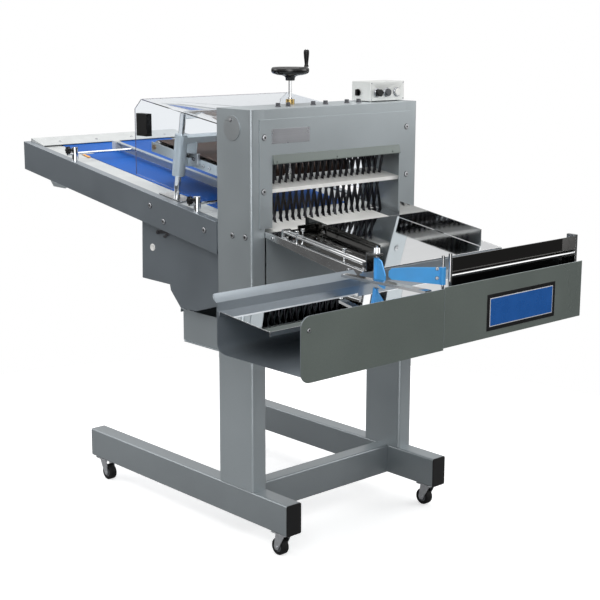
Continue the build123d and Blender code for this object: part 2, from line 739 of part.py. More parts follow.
def clear_cover():
    """Clear tunnel over the press, hinged at the head, with a grip block on its left side."""
    def top(y):
        return CLEAR_TOP + CLEAR_SLOPE * (y - CLEAR_FRONT)

    def bottom(y):
        return rail_top(y) + 34

    bend = CLEAR_REAR - 38
    outline = [(CLEAR_FRONT, bottom(CLEAR_FRONT)), (CLEAR_REAR, bottom(CLEAR_REAR)),
               (CLEAR_REAR, top(bend) - 34), (bend, top(bend)), (CLEAR_FRONT, top(CLEAR_FRONT))]
    side = side_prism(outline, -CLEAR_HALF, -CLEAR_HALF + CLEAR_SHEET)
    shape = side + mirror(side, about=Plane.YZ)
    shape = shape + sloped_slab(-CLEAR_HALF, CLEAR_HALF, CLEAR_FRONT, bend, top, CLEAR_SHEET)
    for side_sign in (-1, 1):
        x0, x1 = side_sign * 197, side_sign * 243
        barrel = rod((x0, HINGE_Y, HINGE_Z), (x1, HINGE_Y, HINGE_Z), 6)
        strap = block(min(x0, x1), max(x0, x1), HINGE_Y, CLEAR_FRONT + 12, HINGE_Z + 3.5, HINGE_Z + 7)
        shape = shape + barrel + strap
        shape = shape - rod((x0, HINGE_Y, HINGE_Z), (x1, HINGE_Y, HINGE_Z), 3 + RUNNING)
    grip = block(-CLEAR_HALF - 22, -CLEAR_HALF, 460, 515, 1172, 1245)
    return solids(shape, grip)


# Outfeed

def outfeed_bed():
    bed = sloped_slab(-OUT_HALF, OUT_HALF, OUT_END, OUT_START, out_z, 3)
    lip = block(-OUT_HALF, OUT_HALF, OUT_END, OUT_END + 2, out_z(OUT_END) - 12, out_z(OUT_END) - 1)
    return bed + lip


def outfeed_arms():
    """Arms that carry the bed and the trough from the columns."""
    back = COLUMN_FRONT
    front = TROUGH_BACK + SHEET
    outline = [(back, out_z(back) + 0.5), (front, out_z(front) + 0.5), (front, out_z(front) - 38),
               (back, out_z(back) - 18)]
    return solids(*two_sided(side_prism(outline, -OUT_HALF - ARM, -OUT_HALF)))


def outfeed_rods():
    """Twin rods beside the bed, the posts and rod of the bag side, and the ledge bar."""
    made = []
    for x in (-284, -266):
        made.append(rod((x, -150, out_z(-150) + 14), (x, -488, out_z(-488) + 14), 4))
    for y in (-146, -488):
        holder = sloped_slab(-291, -259, y - 4, y + 4, lambda v: out_z(v) + 21, 21)
        for x in (-284, -266):
            holder = holder - rod((x, -130, out_z(-130) + 14), (x, -500, out_z(-500) + 14), 4)
        made.append(holder)
    for x, y, radius in ((*FRONT_PIVOT, 4), (-268, -790, 5)):
        made.append(rod((x, y, TROUGH_BOTTOM + SHEET), (x, y, 941), radius))
    made.append(rod((-263, -790, 880), (270, -790, 880), 4))
    made.append(block(270, 280, -800, -768, TROUGH_BOTTOM + SHEET, 935))
    made.append(block(-393, -368, TROUGH_FRONT + SHEET, TROUGH_BACK, 852, 860))
    pivot_x, pivot_y = BACK_PIVOT
    bracket = block(pivot_x - 14, pivot_x + 14, pivot_y - 12, TROUGH_BACK + SHEET, 902, 908)
    bracket = bracket + block(pivot_x - 14, pivot_x + 14, TROUGH_BACK, TROUGH_BACK + SHEET, 852, 908)
    made.append(bracket + rod((pivot_x, pivot_y, 821), (pivot_x, pivot_y, 926), 4))
    return solids(*made)


def left_outfeed_guide():
    """Polished side guide with its foot bracket."""
    face = sloped_slab(-202, -199.5, -466, -150, lambda y: out_z(y) + 1 + GUIDE_HEIGHT, GUIDE_HEIGHT)
    foot = sloped_slab(-250, -202, -172, -168, lambda y: out_z(y) + 36, 35)
    return face + foot


def right_outfeed_guide():
    face = sloped_slab(244, 246.5, -466, -120, lambda y: out_z(y) + 1 + GUIDE_HEIGHT, GUIDE_HEIGHT)
    foot = sloped_slab(246.5, 286, -310, -270, lambda y: out_z(y) + 4, 3)
    return face + foot


def rounded_wall(x0, x1, y0, y1, z0, z1, radius):
    """An upright wall with its two left corners rounded."""
    wall = block(x0, x1, y0, y1, z0, z1)
    return fillet(wall.edges().filter_by(Axis.Y).group_by(Axis.X)[0], radius)


def bent_block(x0, x1, y0, y1, z0, z1, radius):
    """A block whose lower rear edge is rounded."""
    shape = block(x0, x1, y0, y1, z0, z1)
    edge = shape.edges().filter_by(Axis.X).sort_by(Axis.Y)[-2:].sort_by(Axis.Z)[0]
    return fillet(edge, radius)


def trough_housing():
    """Painted channel that holds the bag: front wall, bottom bent up into the back wall, flared lip."""
    right = SEAM - 1
    rear = TROUGH_BACK + SHEET
    wall_top = 842
    outer = bent_block(TROUGH_LEFT, right, TROUGH_FRONT, rear, TROUGH_BOTTOM, wall_top, TROUGH_BEND + SHEET)
    inner = bent_block(TROUGH_LEFT - 1, right + 1, TROUGH_FRONT - 1, TROUGH_BACK, TROUGH_BOTTOM + SHEET,
                       wall_top + 1, TROUGH_BEND)
    lip = side_prism([(TROUGH_BACK, 838), (TROUGH_BACK + 26, 860), (TROUGH_BACK + 28, 858),
                      (rear, 835)], TROUGH_LEFT, right)
    limit = rounded_wall(TROUGH_LEFT, right, TROUGH_FRONT - 1, rear + 40, TROUGH_BOTTOM, 861, TROUGH_CORNER)
    front = rounded_wall(TROUGH_LEFT, right, TROUGH_FRONT, TROUGH_FRONT + SHEET, 690, TROUGH_TOP, 30)
    return ((outer - inner + lip) & limit) + front


def bag_side_panel():
    """Painted casing of the bag store, right of the trough."""
    front = block(SEAM, BAG_RIGHT, TROUGH_FRONT, TROUGH_FRONT + SHEET, 695, 860)
    bottom = block(SEAM, BAG_RIGHT, TROUGH_FRONT, TROUGH_BACK + SHEET, TROUGH_BOTTOM, TROUGH_BOTTOM + SHEET)
    back = block(SEAM, OUT_HALF + ARM, TROUGH_BACK, TROUGH_BACK + SHEET, TROUGH_BOTTOM, 852)
    end = block(BAG_RIGHT - SHEET, BAG_RIGHT, TROUGH_FRONT, TROUGH_BACK + SHEET, TROUGH_BOTTOM, 852)
    return front + bottom + back + end


def tray_z(y):
    """Height of the tray's floor, which rises gently to the back wall."""
    return TRAY_FLOOR + TRAY_SLOPE * (y - TRAY_FRONT)


def packing_tray():
    """Polished tray floor, folded down along its front and rear edges."""
    x0 = TROUGH_LEFT + 6
    x1 = BAG_RIGHT - SHEET
    low = TRAY_FLOOR - TRAY_FOLD
    floor = sloped_slab(x0, x1, TRAY_FRONT, TROUGH_BACK, tray_z, TRAY_SHEET)
    fold = block(x0, x1, TRAY_FRONT, TRAY_FRONT + TRAY_SHEET, low, TRAY_FLOOR)
    rear = tray_z(TROUGH_BACK) - TRAY_SHEET
    return floor + fold + block(x0, x1, TROUGH_BACK - TRAY_SHEET, TROUGH_BACK, rear - TRAY_FOLD, rear)


def stop_plate():
    """Upright plate that stops the loaf at the far side of the tray."""
    return block(-244, 270, -777, -774, TROUGH_BOTTOM + SHEET, 925)


def finger(reach, root_low, root_high, tip_low, tip_high, thickness=3):
    """A blue bag finger that points along -x from its pivot at the origin."""
    outline = [(-7, root_low), (-7, root_high), (-0.55 * reach, root_high + 1), (-reach + 8, tip_high),
               (-reach, tip_high - 8), (-reach, tip_low + 8), (-reach + 8, tip_low)]
    blade = front_prism(outline, -thickness / 2, thickness / 2)
    middle = (root_high + root_low) / 2
    hub_low = min(root_low, middle)
    return blade + tube((0, 0, hub_low), (0, 0, root_high), 8, 4 + RUNNING)


def back_finger():
    x, y = BACK_PIVOT
    shape = finger(BACK_REACH, 823, 896, 825, 872) - rod((0, 0, 800), (0, 0, 930), 4 + RUNNING)
    return Pos(x, y, 0) * (Rot(0, 0, 58) * shape)


def front_finger():
    """The finger on the bag side."""
    x, y = FRONT_PIVOT
    shape = finger(FRONT_REACH, 864, 910, 878, 908) - rod((0, 0, 850), (0, 0, 930), 4 + RUNNING)
    return Pos(x, y, 0) * (Rot(0, 0, -40) * shape)


# Fasteners

def pan_screw(point, direction, radius=6.5, height=3):
    end = tuple(p + height * d for p, d in zip(point, direction))
    return rod(point, end, radius)


def hex_bolt(x, y, z, across, height):
    """Hexagon head on a washer, standing on a flat top."""
    washer = rod((x, y, z), (x, y, z + 1.5), across * 0.62)
    head = Pos(x, y, z + 1.5) * extrude(RegularPolygon(across / 2, 6), amount=height)
    return washer + head


def fasteners():
    """Screws of the covers, columns, rails and arms, the head's bolts and the round side caps."""
    face = COLUMN_FRONT - SHEET
    made = []
    for x, z in ((-308, 1202), (-311, 1040), (307, 1204), (310, 1048)):
        made.append(pan_screw((x, face, z), (0, -1, 0)))
    left = [(5, 903), (-55.5, 904), (144, 903), (354, 906), (427, 951)]
    for y, z in left:
        made.extend(two_sided(pan_screw((-OUTER, y, z), (-1, 0, 0))))
    for y in (-118, -444):
        made.extend(two_sided(pan_screw((-OUT_HALF - ARM, y, out_z(y) - 11), (-1, 0, 0), 5, 3)))
    made.append(pan_screw((-804, TROUGH_FRONT, 821), (0, -1, 0), 5, 2.5))
    cap = rod((-OUTER, 3, 1228), (-OUTER - 2.5, 3, 1228), 37.5)
    made.extend(two_sided(cap + rod((-OUTER - 2, 8, 1252), (-OUTER - 4.5, 8, 1252), 5)))
    for x in (-190, -148, -43, 10, 104, 157):
        made.append(hex_bolt(x, -12, HEAD_TOP, 15, 10))
    made.append(tube((SPINDLE_X, SPINDLE_Y, HEAD_TOP), (SPINDLE_X, SPINDLE_Y, HEAD_TOP + 15), 14,
                     SPINDLE_RADIUS + RUNNING))
    return solids(*made)


def caster_parts():
    parts = {}
    for side, x in (("left", -TRACK), ("right", TRACK)):
        for end, y in CASTER_Y.items():
            name = end + "_" + side
            parts[name + "_fork"] = caster_fork(x, y, CASTER_TRAIL[end])
            parts[name + "_wheel"] = caster_wheel(x, y, CASTER_TRAIL[end])
    return parts


def all_parts():
    """Every node by name, still in the modelling frame."""
    makers = (base_tubes, foot_end_plugs, columns, caster_plates, top_cover, front_cover, visor,
              rear_cover, chamber_panels, upper_drum, lower_drum, bearing_blocks, blade_bands,
              lower_blade_guide, upper_blade_guide, handwheel, crank_handle, control_box,
              speed_knob, stop_button, start_button, power_switch, motor, motor_pulley, drive_belts,
              drive_housing, crumb_drawer, infeed_rails, infeed_bed, infeed_belt, drive_roller,
              infeed_end_cover, lane_guide, infeed_posts, press_frame, press_belt, clear_cover,
              outfeed_bed, outfeed_arms, outfeed_rods, left_outfeed_guide, right_outfeed_guide,
              trough_housing, bag_side_panel, packing_tray, stop_plate, back_finger, front_finger,
              fasteners)
    parts = {maker.__name__: maker() for maker in makers}
    parts["tail_roller"] = infeed_roller(TAIL_ROLLER_Y)
    parts["press_front_roller"] = press_roller(PRESS_FRONT)
    parts["press_rear_roller"] = press_roller(PRESS_REAR)
    parts.update(caster_parts())
    return parts


def placed(shape, place):
    """The node's solids, each moved to the part's own frame."""
    moved = [place * solid for solid in shape.solids()]
    return moved[0] if len(moved) == 1 else Compound(children=moved)


def main():
    """Write one file per node, with the origin at the middle of the footprint, on the floor."""
    parts = all_parts()
    boxes = [shape.bounding_box() for shape in parts.values()]
    middle_x = (min(b.min.X for b in boxes) + max(b.max.X for b in boxes)) / 2
    middle_y = (min(b.min.Y for b in boxes) + max(b.max.Y for b in boxes)) / 2
    print("origin in the modelling frame:", round(middle_x, 3), round(middle_y, 3), -CASTER_HEIGHT)
    place = Pos(-middle_x, -middle_y, CASTER_HEIGHT)
    os.makedirs("parts", exist_ok=True)
    for name, shape in parts.items():
        export_step(placed(shape, place), "parts/" + name + ".step")


if __name__ == "__main__":
    main()
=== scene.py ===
"""A bakery band slicer: looks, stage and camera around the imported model."""
import json
import math

import bmesh
import bpy
from bpy.props import FloatProperty, FloatVectorProperty, IntProperty, PointerProperty
from mathutils import Matrix, Vector

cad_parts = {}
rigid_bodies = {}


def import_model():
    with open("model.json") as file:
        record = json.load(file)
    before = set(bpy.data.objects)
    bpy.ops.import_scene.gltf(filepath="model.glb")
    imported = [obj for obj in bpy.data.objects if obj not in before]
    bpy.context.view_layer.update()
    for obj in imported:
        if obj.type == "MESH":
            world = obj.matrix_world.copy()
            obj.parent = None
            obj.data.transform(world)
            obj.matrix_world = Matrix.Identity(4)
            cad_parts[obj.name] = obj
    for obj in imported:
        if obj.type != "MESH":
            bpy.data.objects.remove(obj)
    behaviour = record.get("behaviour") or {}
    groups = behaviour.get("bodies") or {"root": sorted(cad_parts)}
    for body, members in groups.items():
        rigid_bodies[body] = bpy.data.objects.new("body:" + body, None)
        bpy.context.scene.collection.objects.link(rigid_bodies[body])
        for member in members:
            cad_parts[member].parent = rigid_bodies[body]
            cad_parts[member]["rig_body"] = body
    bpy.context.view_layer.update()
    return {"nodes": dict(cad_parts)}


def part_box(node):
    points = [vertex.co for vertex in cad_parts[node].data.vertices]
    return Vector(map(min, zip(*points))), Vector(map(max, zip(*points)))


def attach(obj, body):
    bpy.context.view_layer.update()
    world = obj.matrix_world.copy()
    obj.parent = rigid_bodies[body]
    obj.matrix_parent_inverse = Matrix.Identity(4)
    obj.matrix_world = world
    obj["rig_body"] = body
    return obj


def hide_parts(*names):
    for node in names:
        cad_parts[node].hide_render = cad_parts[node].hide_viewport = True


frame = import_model()

bl_info = {
    "name": "Band slicer looks",
    "version": (1, 0, 0),
    "blender": (4, 5, 0),
    "location": "3D View > Sidebar > Slicer",
    "description": "Finishes, small parts, stage and camera for a floor-standing band slicer",
    "category": "Object",
}

# Places are written in millimetres from the machine's centre plane, the middle of the columns
# and the underside of the feet, as in the part's source.
MM = 0.001
COLUMN_SIDE = 360.0
COLUMN_FRONT = -82.5
COLUMN_REAR = 82.6
COVER_FACE = -85.0
HEAD_TOP = 1285.0
FASCIA_HALF = 309.0
TOP_FOLD = 45.0
SKIN = 0.05
origin_low, origin_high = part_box("columns")
CENTRE_X = (origin_low.x + origin_high.x) / 2
CENTRE_Y = (origin_low.y + origin_high.y) / 2
FEET_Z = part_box("base_tubes")[0].z
RAIL_SLOPE, RAIL_START_Y, RAIL_START_Z = 0.1535, 86.0, 935.0
BED_SLOPE, BED_START_Y, BED_START_Z = 0.152, -80.0, 919.5
RAIL_DEPTH = 101.0
BELT_DROP = 3.0
SPINDLE = (-70.0, 66.0)
CRANK = (-34.0, 30.0)
CONTROL_FACE = -30.0
CONTROL_Z = 1314.0
KNOB_HEAD = 12.0
SIDE_CAP = (3.0, 1228.0)
CAP_SCREW = (8.0, 1252.0)
SIDE_CAP_FACE = 362.5
TROUGH_FACE = -818.0

# The stage is in metres, and its camera is turned in degrees.
FLOOR_RADIUS = 2.1
CAMERA_PLACE = (-2879.9, -3060.7, 1542.8)
CAMERA_YAW, CAMERA_PITCH, CAMERA_ROLL = 42.393, 11.969, 0.154
CAMERA_LENS = 79.085
WHITE = (1.0, 1.0, 1.0, 1.0)


def at(x, y, z):
    """A point given in millimetres on the machine, in the row frame."""
    return Vector((CENTRE_X + x * MM, CENTRE_Y + y * MM, FEET_Z + z * MM))


def rail_top(y):
    """Height of the infeed rails' upper edge."""
    return RAIL_START_Z + RAIL_SLOPE * (y - RAIL_START_Y)


def belt_top(y):
    """Height of the blue belt's upper side."""
    return rail_top(y) - BELT_DROP


def bed_top(y):
    """Height of the outfeed bed."""
    return BED_START_Z + BED_SLOPE * (y - BED_START_Y)


def linear(r, g, b):
    """A colour read off a screen, 0 to 255, as linear values."""
    return tuple(((c / 255 + 0.055) / 1.055) ** 2.4 if c > 10 else c / 255 / 12.92 for c in (r, g, b))


class SlicerSizes(bpy.types.PropertyGroup):
    edge: FloatProperty(name="Sheet edge radius", description="Rounding of the cut sheet edges",
                        default=0.0006, unit="LENGTH")
    screw_radius: FloatProperty(name="Screw head radius", description="Radius of the small screws",
                                default=0.0045, unit="LENGTH")
    cover_screw: FloatProperty(name="Cover screw width", description="Width of the socket screws' heads",
                               default=0.0164, unit="LENGTH")
    knob_radius: FloatProperty(name="Star knob radius", description="Radius of the clamping knobs",
                               default=0.014, unit="LENGTH")
    knob_lobes: IntProperty(name="Star knob lobes", description="Lobes round a clamping knob", default=7)
    panel_width: FloatProperty(name="Panel width", description="Width of the blank plate on the bag side",
                               default=0.300, unit="LENGTH")
    panel_height: FloatProperty(name="Panel height", description="Height of that plate",
                                default=0.102, unit="LENGTH")
    tread: FloatProperty(name="Tread rounding", description="Rounding of the caster wheels' tread",
                         default=0.0035, unit="LENGTH")


def colour(name, what, value):
    return FloatVectorProperty(name=name, description=what, default=value, subtype="COLOR", size=3,
                               min=0, max=1)


class SlicerColours(bpy.types.PropertyGroup):
    paint: colour("Head paint", "Metallic paint of the head, covers and columns", linear(170, 178, 182))
    leg_paint: colour("Leg paint", "Metallic paint of the foot tubes", linear(150, 157, 161))
    trough_paint: colour("Trough paint", "Darker paint of the bagging trough", linear(136, 146, 141))
    rail_paint: colour("Rail paint", "Blue grey paint of the rails, housing and inside of the trough",
                       linear(131, 139, 146))
    light_paint: colour("Pale paint", "Paint of the control box", linear(229, 231, 229))
    cream: colour("Bed paint", "Pale slider bed and end cover", linear(194, 197, 197))
    belt: colour("Belt blue", "Woven conveyor belt", linear(20, 88, 172))
    finger: colour("Finger blue", "Bag fingers", linear(66, 158, 226))
    panel: colour("Panel blue", "Field of the blank plate", linear(20, 92, 172))
    press_belt: colour("Press belt", "Dark brown press belt", linear(58, 42, 34))
    clear: colour("Clear sheet", "Tint of the clear cover", linear(236, 240, 244))


def sizes():
    return bpy.context.scene.slicer_sizes


def colours():
    return bpy.context.scene.slicer_colours


# Shader groups and materials

def shader_group(name, inputs, outputs):
    """An empty shader group with its named sockets; returns the tree and its two end nodes."""
    tree = bpy.data.node_groups.new(name, "ShaderNodeTree")
    for label, kind, value in inputs:
        socket = tree.interface.new_socket(label, in_out="INPUT", socket_type="NodeSocket" + kind)
        socket.default_value = value
    for label, kind in outputs:
        tree.interface.new_socket(label, in_out="OUTPUT", socket_type="NodeSocket" + kind)
    return tree, tree.nodes.new("NodeGroupInput"), tree.nodes.new("NodeGroupOutput")


def math_node(tree, operation, first, second):
    node = tree.nodes.new("ShaderNodeMath")
    node.operation = operation
    for socket, value in zip(node.inputs, (first, second)):
        if isinstance(value, (int, float)):
            socket.default_value = value
        else:
            tree.links.new(value, socket)
    return node.outputs[0]


def seen_directly(tree, path):
    """1 for rays from the camera, also after a clear sheet, else 0."""
    return math_node(tree, "MAXIMUM", path.outputs["Is Camera Ray"], path.outputs["Is Transmission Ray"])


def noise(tree, vector, scale, detail=2.0):
    node = tree.nodes.new("ShaderNodeTexNoise")
    tree.links.new(vector, node.inputs["Vector"])
    if isinstance(scale, (int, float)):
        node.inputs["Scale"].default_value = scale
    else:
        tree.links.new(scale, node.inputs["Scale"])
    node.inputs["Detail"].default_value = detail
    return node.outputs["Fac"]


def shade(tree, base, amount):
    """The base colour made lighter or darker by amount, which is 1 where it stays."""
    node = tree.nodes.new("ShaderNodeMix")
    node.data_type = "RGBA"
    node.blend_type = "MULTIPLY"
    node.inputs["Factor"].default_value = 1
    grey = tree.nodes.new("ShaderNodeCombineColor")
    for socket in grey.inputs:
        tree.links.new(amount, socket)
    tree.links.new(base, node.inputs[6])
    tree.links.new(grey.outputs[0], node.inputs[7])
    return node.outputs[2]


def ramp(tree, value, given, wanted, smooth=False):
    """The value carried from the given pair of limits to the wanted pair."""
    node = tree.nodes.new("ShaderNodeMapRange")
    if smooth:
        node.interpolation_type = "SMOOTHSTEP"
    tree.links.new(value, node.inputs["Value"])
    for label, limit in zip(("From Min", "From Max", "To Min", "To Max"), (*given, *wanted)):
        if isinstance(limit, (int, float)):
            node.inputs[label].default_value = limit
        else:
            tree.links.new(limit, node.inputs[label])
    return node.outputs["Result"]


def spread(tree, value, low, high):
    """Noise, most of which is between 0.3 and 0.7, carried to low and high."""
    return ramp(tree, value, (0.3, 0.7), (low, high))


def flake_group():
    """Metallic paint: fine flakes, slow mottling and a faint orange peel."""
    tree, given, out = shader_group(
        "metal flake", [("Colour", "Color", (0.5, 0.5, 0.5, 1)), ("Flake", "Float", 0.1),
                        ("Roughness", "Float", 0.4)],
        [("Colour", "Color"), ("Roughness", "Float"), ("Height", "Float")])
    place = tree.nodes.new("ShaderNodeTexCoord").outputs["Object"]
    flakes = noise(tree, place, 1400.0, 1.0)
    mottle = noise(tree, place, 5.0, 3.0)
    peel = noise(tree, place, 220.0, 1.0)
    low = math_node(tree, "SUBTRACT", 1.0, given.outputs["Flake"])
    high = math_node(tree, "ADD", 1.0, given.outputs["Flake"])
    speckle = spread(tree, flakes, low, high)
    patch = spread(tree, mottle, 0.95, 1.04)
    amount = math_node(tree, "MULTIPLY", speckle, patch)
    tree.links.new(shade(tree, given.outputs["Colour"], amount), out.inputs["Colour"])
    uneven = spread(tree, mottle, 0.9, 1.12)
    tree.links.new(math_node(tree, "MULTIPLY", given.outputs["Roughness"], uneven), out.inputs["Roughness"])
    tree.links.new(peel, out.inputs["Height"])
    return tree


def grain_group():
    """Rolled or brushed metal: long fine lines and a few smudges."""
    tree, given, out = shader_group(
        "metal grain", [("Colour", "Color", (0.6, 0.6, 0.6, 1)), ("Lines", "Vector", (4, 900, 900)),
                        ("Depth", "Float", 0.08), ("Roughness", "Float", 0.25)],
        [("Colour", "Color"), ("Roughness", "Float"), ("Height", "Float")])
    place = tree.nodes.new("ShaderNodeTexCoord").outputs["Object"]
    stretch = tree.nodes.new("ShaderNodeVectorMath")
    stretch.operation = "MULTIPLY"
    tree.links.new(place, stretch.inputs[0])
    tree.links.new(given.outputs["Lines"], stretch.inputs[1])
    lines = noise(tree, stretch.outputs[0], 1.0, 3.0)
    smudge = noise(tree, place, 14.0, 4.0)
    low = math_node(tree, "SUBTRACT", 1.0, given.outputs["Depth"])
    high = math_node(tree, "ADD", 1.0, given.outputs["Depth"])
    tree.links.new(shade(tree, given.outputs["Colour"], spread(tree, lines, low, high)),
                   out.inputs["Colour"])
    uneven = spread(tree, smudge, 0.75, 1.35)
    tree.links.new(math_node(tree, "MULTIPLY", given.outputs["Roughness"], uneven), out.inputs["Roughness"])
    tree.links.new(lines, out.inputs["Height"])
    return tree


def weave_group():
    """Plain weave of a conveyor belt with patchy flour dust; painted shade darkens the low places between
    the threads.
    """
    tree, given, out = shader_group(
        "belt weave", [("Colour", "Color", (0.1, 0.2, 0.6, 1)), ("Threads", "Float", 700.0),
                       ("Dust", "Float", 0.08)],
        [("Colour", "Color"), ("Height", "Float")])
    place = tree.nodes.new("ShaderNodeTexCoord").outputs["Object"]
    split = tree.nodes.new("ShaderNodeSeparateXYZ")
    tree.links.new(place, split.inputs[0])
    waves = []
    for axis in ("X", "Y"):
        turned = math_node(tree, "MULTIPLY", split.outputs[axis], given.outputs["Threads"])
        turned = math_node(tree, "MULTIPLY", turned, math.pi)
        waves.append(math_node(tree, "SINE", turned, 0.0))
    weave = math_node(tree, "MULTIPLY", waves[0], waves[1])
    height = math_node(tree, "MULTIPLY_ADD", weave, 0.5)
    tree.links.new(height, out.inputs["Height"])
    dust = noise(tree, place, 9.0, 5.0)
    low = math_node(tree, "SUBTRACT", 1.0, given.outputs["Dust"])
    high = math_node(tree, "ADD", 1.0, given.outputs["Dust"])
    # Painted shade: the low places of the weave are made darker than the raised threads.
    amount = math_node(tree, "MULTIPLY", spread(tree, dust, low, high),
                       math_node(tree, "ADD", 0.96, math_node(tree, "MULTIPLY", height, 0.08)))
    tree.links.new(shade(tree, given.outputs["Colour"], amount), out.inputs["Colour"])
    return tree


def moulded_group():
    """Moulded plastic or rubber: fine spark-eroded grain and slow unevenness."""
    tree, given, out = shader_group(
        "moulded grain", [("Colour", "Color", (0.5, 0.5, 0.5, 1)), ("Grain", "Float", 900.0),
                          ("Roughness", "Float", 0.45)],
        [("Colour", "Color"), ("Roughness", "Float"), ("Height", "Float")])
    place = tree.nodes.new("ShaderNodeTexCoord").outputs["Object"]
    grain = noise(tree, place, given.outputs["Grain"], 2.0)
    slow = noise(tree, place, 22.0, 3.0)
    tree.links.new(shade(tree, given.outputs["Colour"], spread(tree, slow, 0.93, 1.05)),
                   out.inputs["Colour"])
    tree.links.new(math_node(tree, "MULTIPLY", given.outputs["Roughness"], spread(tree, slow, 0.88, 1.12)),
                   out.inputs["Roughness"])
    tree.links.new(grain, out.inputs["Height"])
    return tree


GROUPS = {}


def material(name, group, values, metallic=0.0, roughness=0.4, bump=0.05, coat=0.0, specular=0.5):
    """A material whose colour, roughness and relief come from one of the shared groups."""
    found = bpy.data.materials.get(name)
    if found:
        return found
    made = bpy.data.materials.new(name)
    made.use_nodes = True
    tree = made.node_tree
    shader = tree.nodes["Principled BSDF"]
    shader.inputs["Metallic"].default_value = metallic
    shader.inputs["Roughness"].default_value = roughness
    shader.inputs["Coat Weight"].default_value = coat
    shader.inputs["Coat Roughness"].default_value = 0.12
    shader.inputs["Specular IOR Level"].default_value = specular
    node = tree.nodes.new("ShaderNodeGroup")
    node.node_tree = GROUPS[group]
    for label, value in values.items():
        node.inputs[label].default_value = value
    tree.links.new(node.outputs["Colour"], shader.inputs["Base Color"])
    if "Roughness" in node.outputs:
        node.inputs["Roughness"].default_value = roughness
        tree.links.new(node.outputs["Roughness"], shader.inputs["Roughness"])
    relief = tree.nodes.new("ShaderNodeBump")
    relief.inputs["Strength"].default_value = bump
    relief.inputs["Distance"].default_value = 0.0002
    tree.links.new(node.outputs["Height"], relief.inputs["Height"])
    tree.links.new(relief.outputs["Normal"], shader.inputs["Normal"])
    return made


def solid(value):
    return (*value, 1.0)


def paint(name, value, roughness=0.36, metallic=0.55, flake=0.10):
    return material(name, "flake", {"Colour": solid(value), "Flake": flake}, metallic, roughness,
                    bump=0.12, coat=0.25)


def metal(name, value, roughness, depth=0.08, lines=(4.0, 900.0, 900.0), bump=0.06):
    return material(name, "grain", {"Colour": solid(value), "Depth": depth, "Lines": lines}, 1.0,
                    roughness, bump=bump)


def plastic(name, value, roughness=0.45, grain=900.0, bump=0.15, specular=0.5):
    return material(name, "moulded", {"Colour": solid(value), "Grain": grain}, 0.0, roughness,
                    bump=bump, specular=specular)


def head_paint():
    return paint("head paint", colours().paint)


def leg_paint():
    return paint("leg paint", colours().leg_paint)


def cap_paint():
    return paint("cap paint", linear(166, 171, 174), roughness=0.32)


def rail_paint():
    return paint("rail paint", colours().rail_paint)


def trough_paint():
    return paint("trough paint", colours().trough_paint, roughness=0.3)


def pale_paint():
    return paint("pale paint", colours().light_paint, roughness=0.32, metallic=0.15, flake=0.06)


def cream_paint():
    return plastic("bed paint", colours().cream, 0.42, 300.0, 0.08)


def mirror_steel():
    return metal("mirror steel", (0.66, 0.67, 0.68), 0.055, 0.02, (6.0, 300.0, 300.0), 0.008)


def tray_mirror():
    return metal("tray mirror", (0.74, 0.75, 0.76), 0.012, 0.01, (3.0, 120.0, 120.0), 0.001)


# Polished steel given a nearly black colour: painted dark reflection of the dim surroundings in front of
# the machine.
def dark_reflection_steel():
    return metal("polished steel with painted dark reflection", (0.09, 0.088, 0.084), 0.075, 0.03, (6.0, 300.0, 300.0), 0.008)


def arm_steel():
    return metal("arm steel", (0.66, 0.665, 0.67), 0.22, 0.04, (6.0, 300.0, 300.0), 0.01)


def rod_steel():
    return metal("rod steel", (0.5, 0.505, 0.51), 0.1, 0.03, (60.0, 60.0, 60.0), 0.006)


def ring_steel():
    return metal("ring steel", (0.34, 0.35, 0.37), 0.16, 0.05, (60.0, 60.0, 60.0), 0.01)


def bronze():
    return metal("bronze bush", (0.34, 0.25, 0.17), 0.34, 0.12, (200.0, 200.0, 200.0), 0.05)


def chrome():
    return metal("chrome plate", (0.78, 0.79, 0.80), 0.05, 0.015, (60.0, 60.0, 60.0), 0.004)


def brushed():
    return metal("brushed steel", (0.56, 0.57, 0.58), 0.26, 0.12)


def zinc():
    return metal("zinc plate", (0.55, 0.56, 0.58), 0.33, 0.10, (120.0, 120.0, 120.0), 0.05)


def blade_steel():
    return metal("blade steel", (0.045, 0.045, 0.05), 0.36, 0.2, (900.0, 900.0, 8.0), 0.04)


def dark_bolt():
    return metal("blackened bolt", (0.13, 0.13, 0.14), 0.38, 0.12, (200.0, 200.0, 200.0), 0.05)


def cast_paint():
    return paint("cast paint", linear(70, 76, 80), 0.5, 0.2, 0.04)


def brass():
    return metal("brass", (0.62, 0.44, 0.18), 0.28, 0.10, (300.0, 300.0, 300.0), 0.04)


def black_plastic():
    return plastic("black plastic", linear(17, 17, 18), 0.4, specular=0.3)


def black_rubber():
    return plastic("black rubber", linear(22, 22, 23), 0.65, 500.0, 0.2, specular=0.25)


def white_plastic():
    return plastic("white guide plastic", linear(243, 243, 240), 0.4, 250.0, 0.05)


def finger_plastic():
    return plastic("finger plastic", colours().finger, 0.36, 400.0, 0.06)


# Near-black finish of the dark washers; on the thin disc atop each screw head the same finish is painted
# shade for its drive recess.
def recess_shade_and_washer():
    return plastic("painted recess shade and washer", linear(18, 18, 19), 0.6)


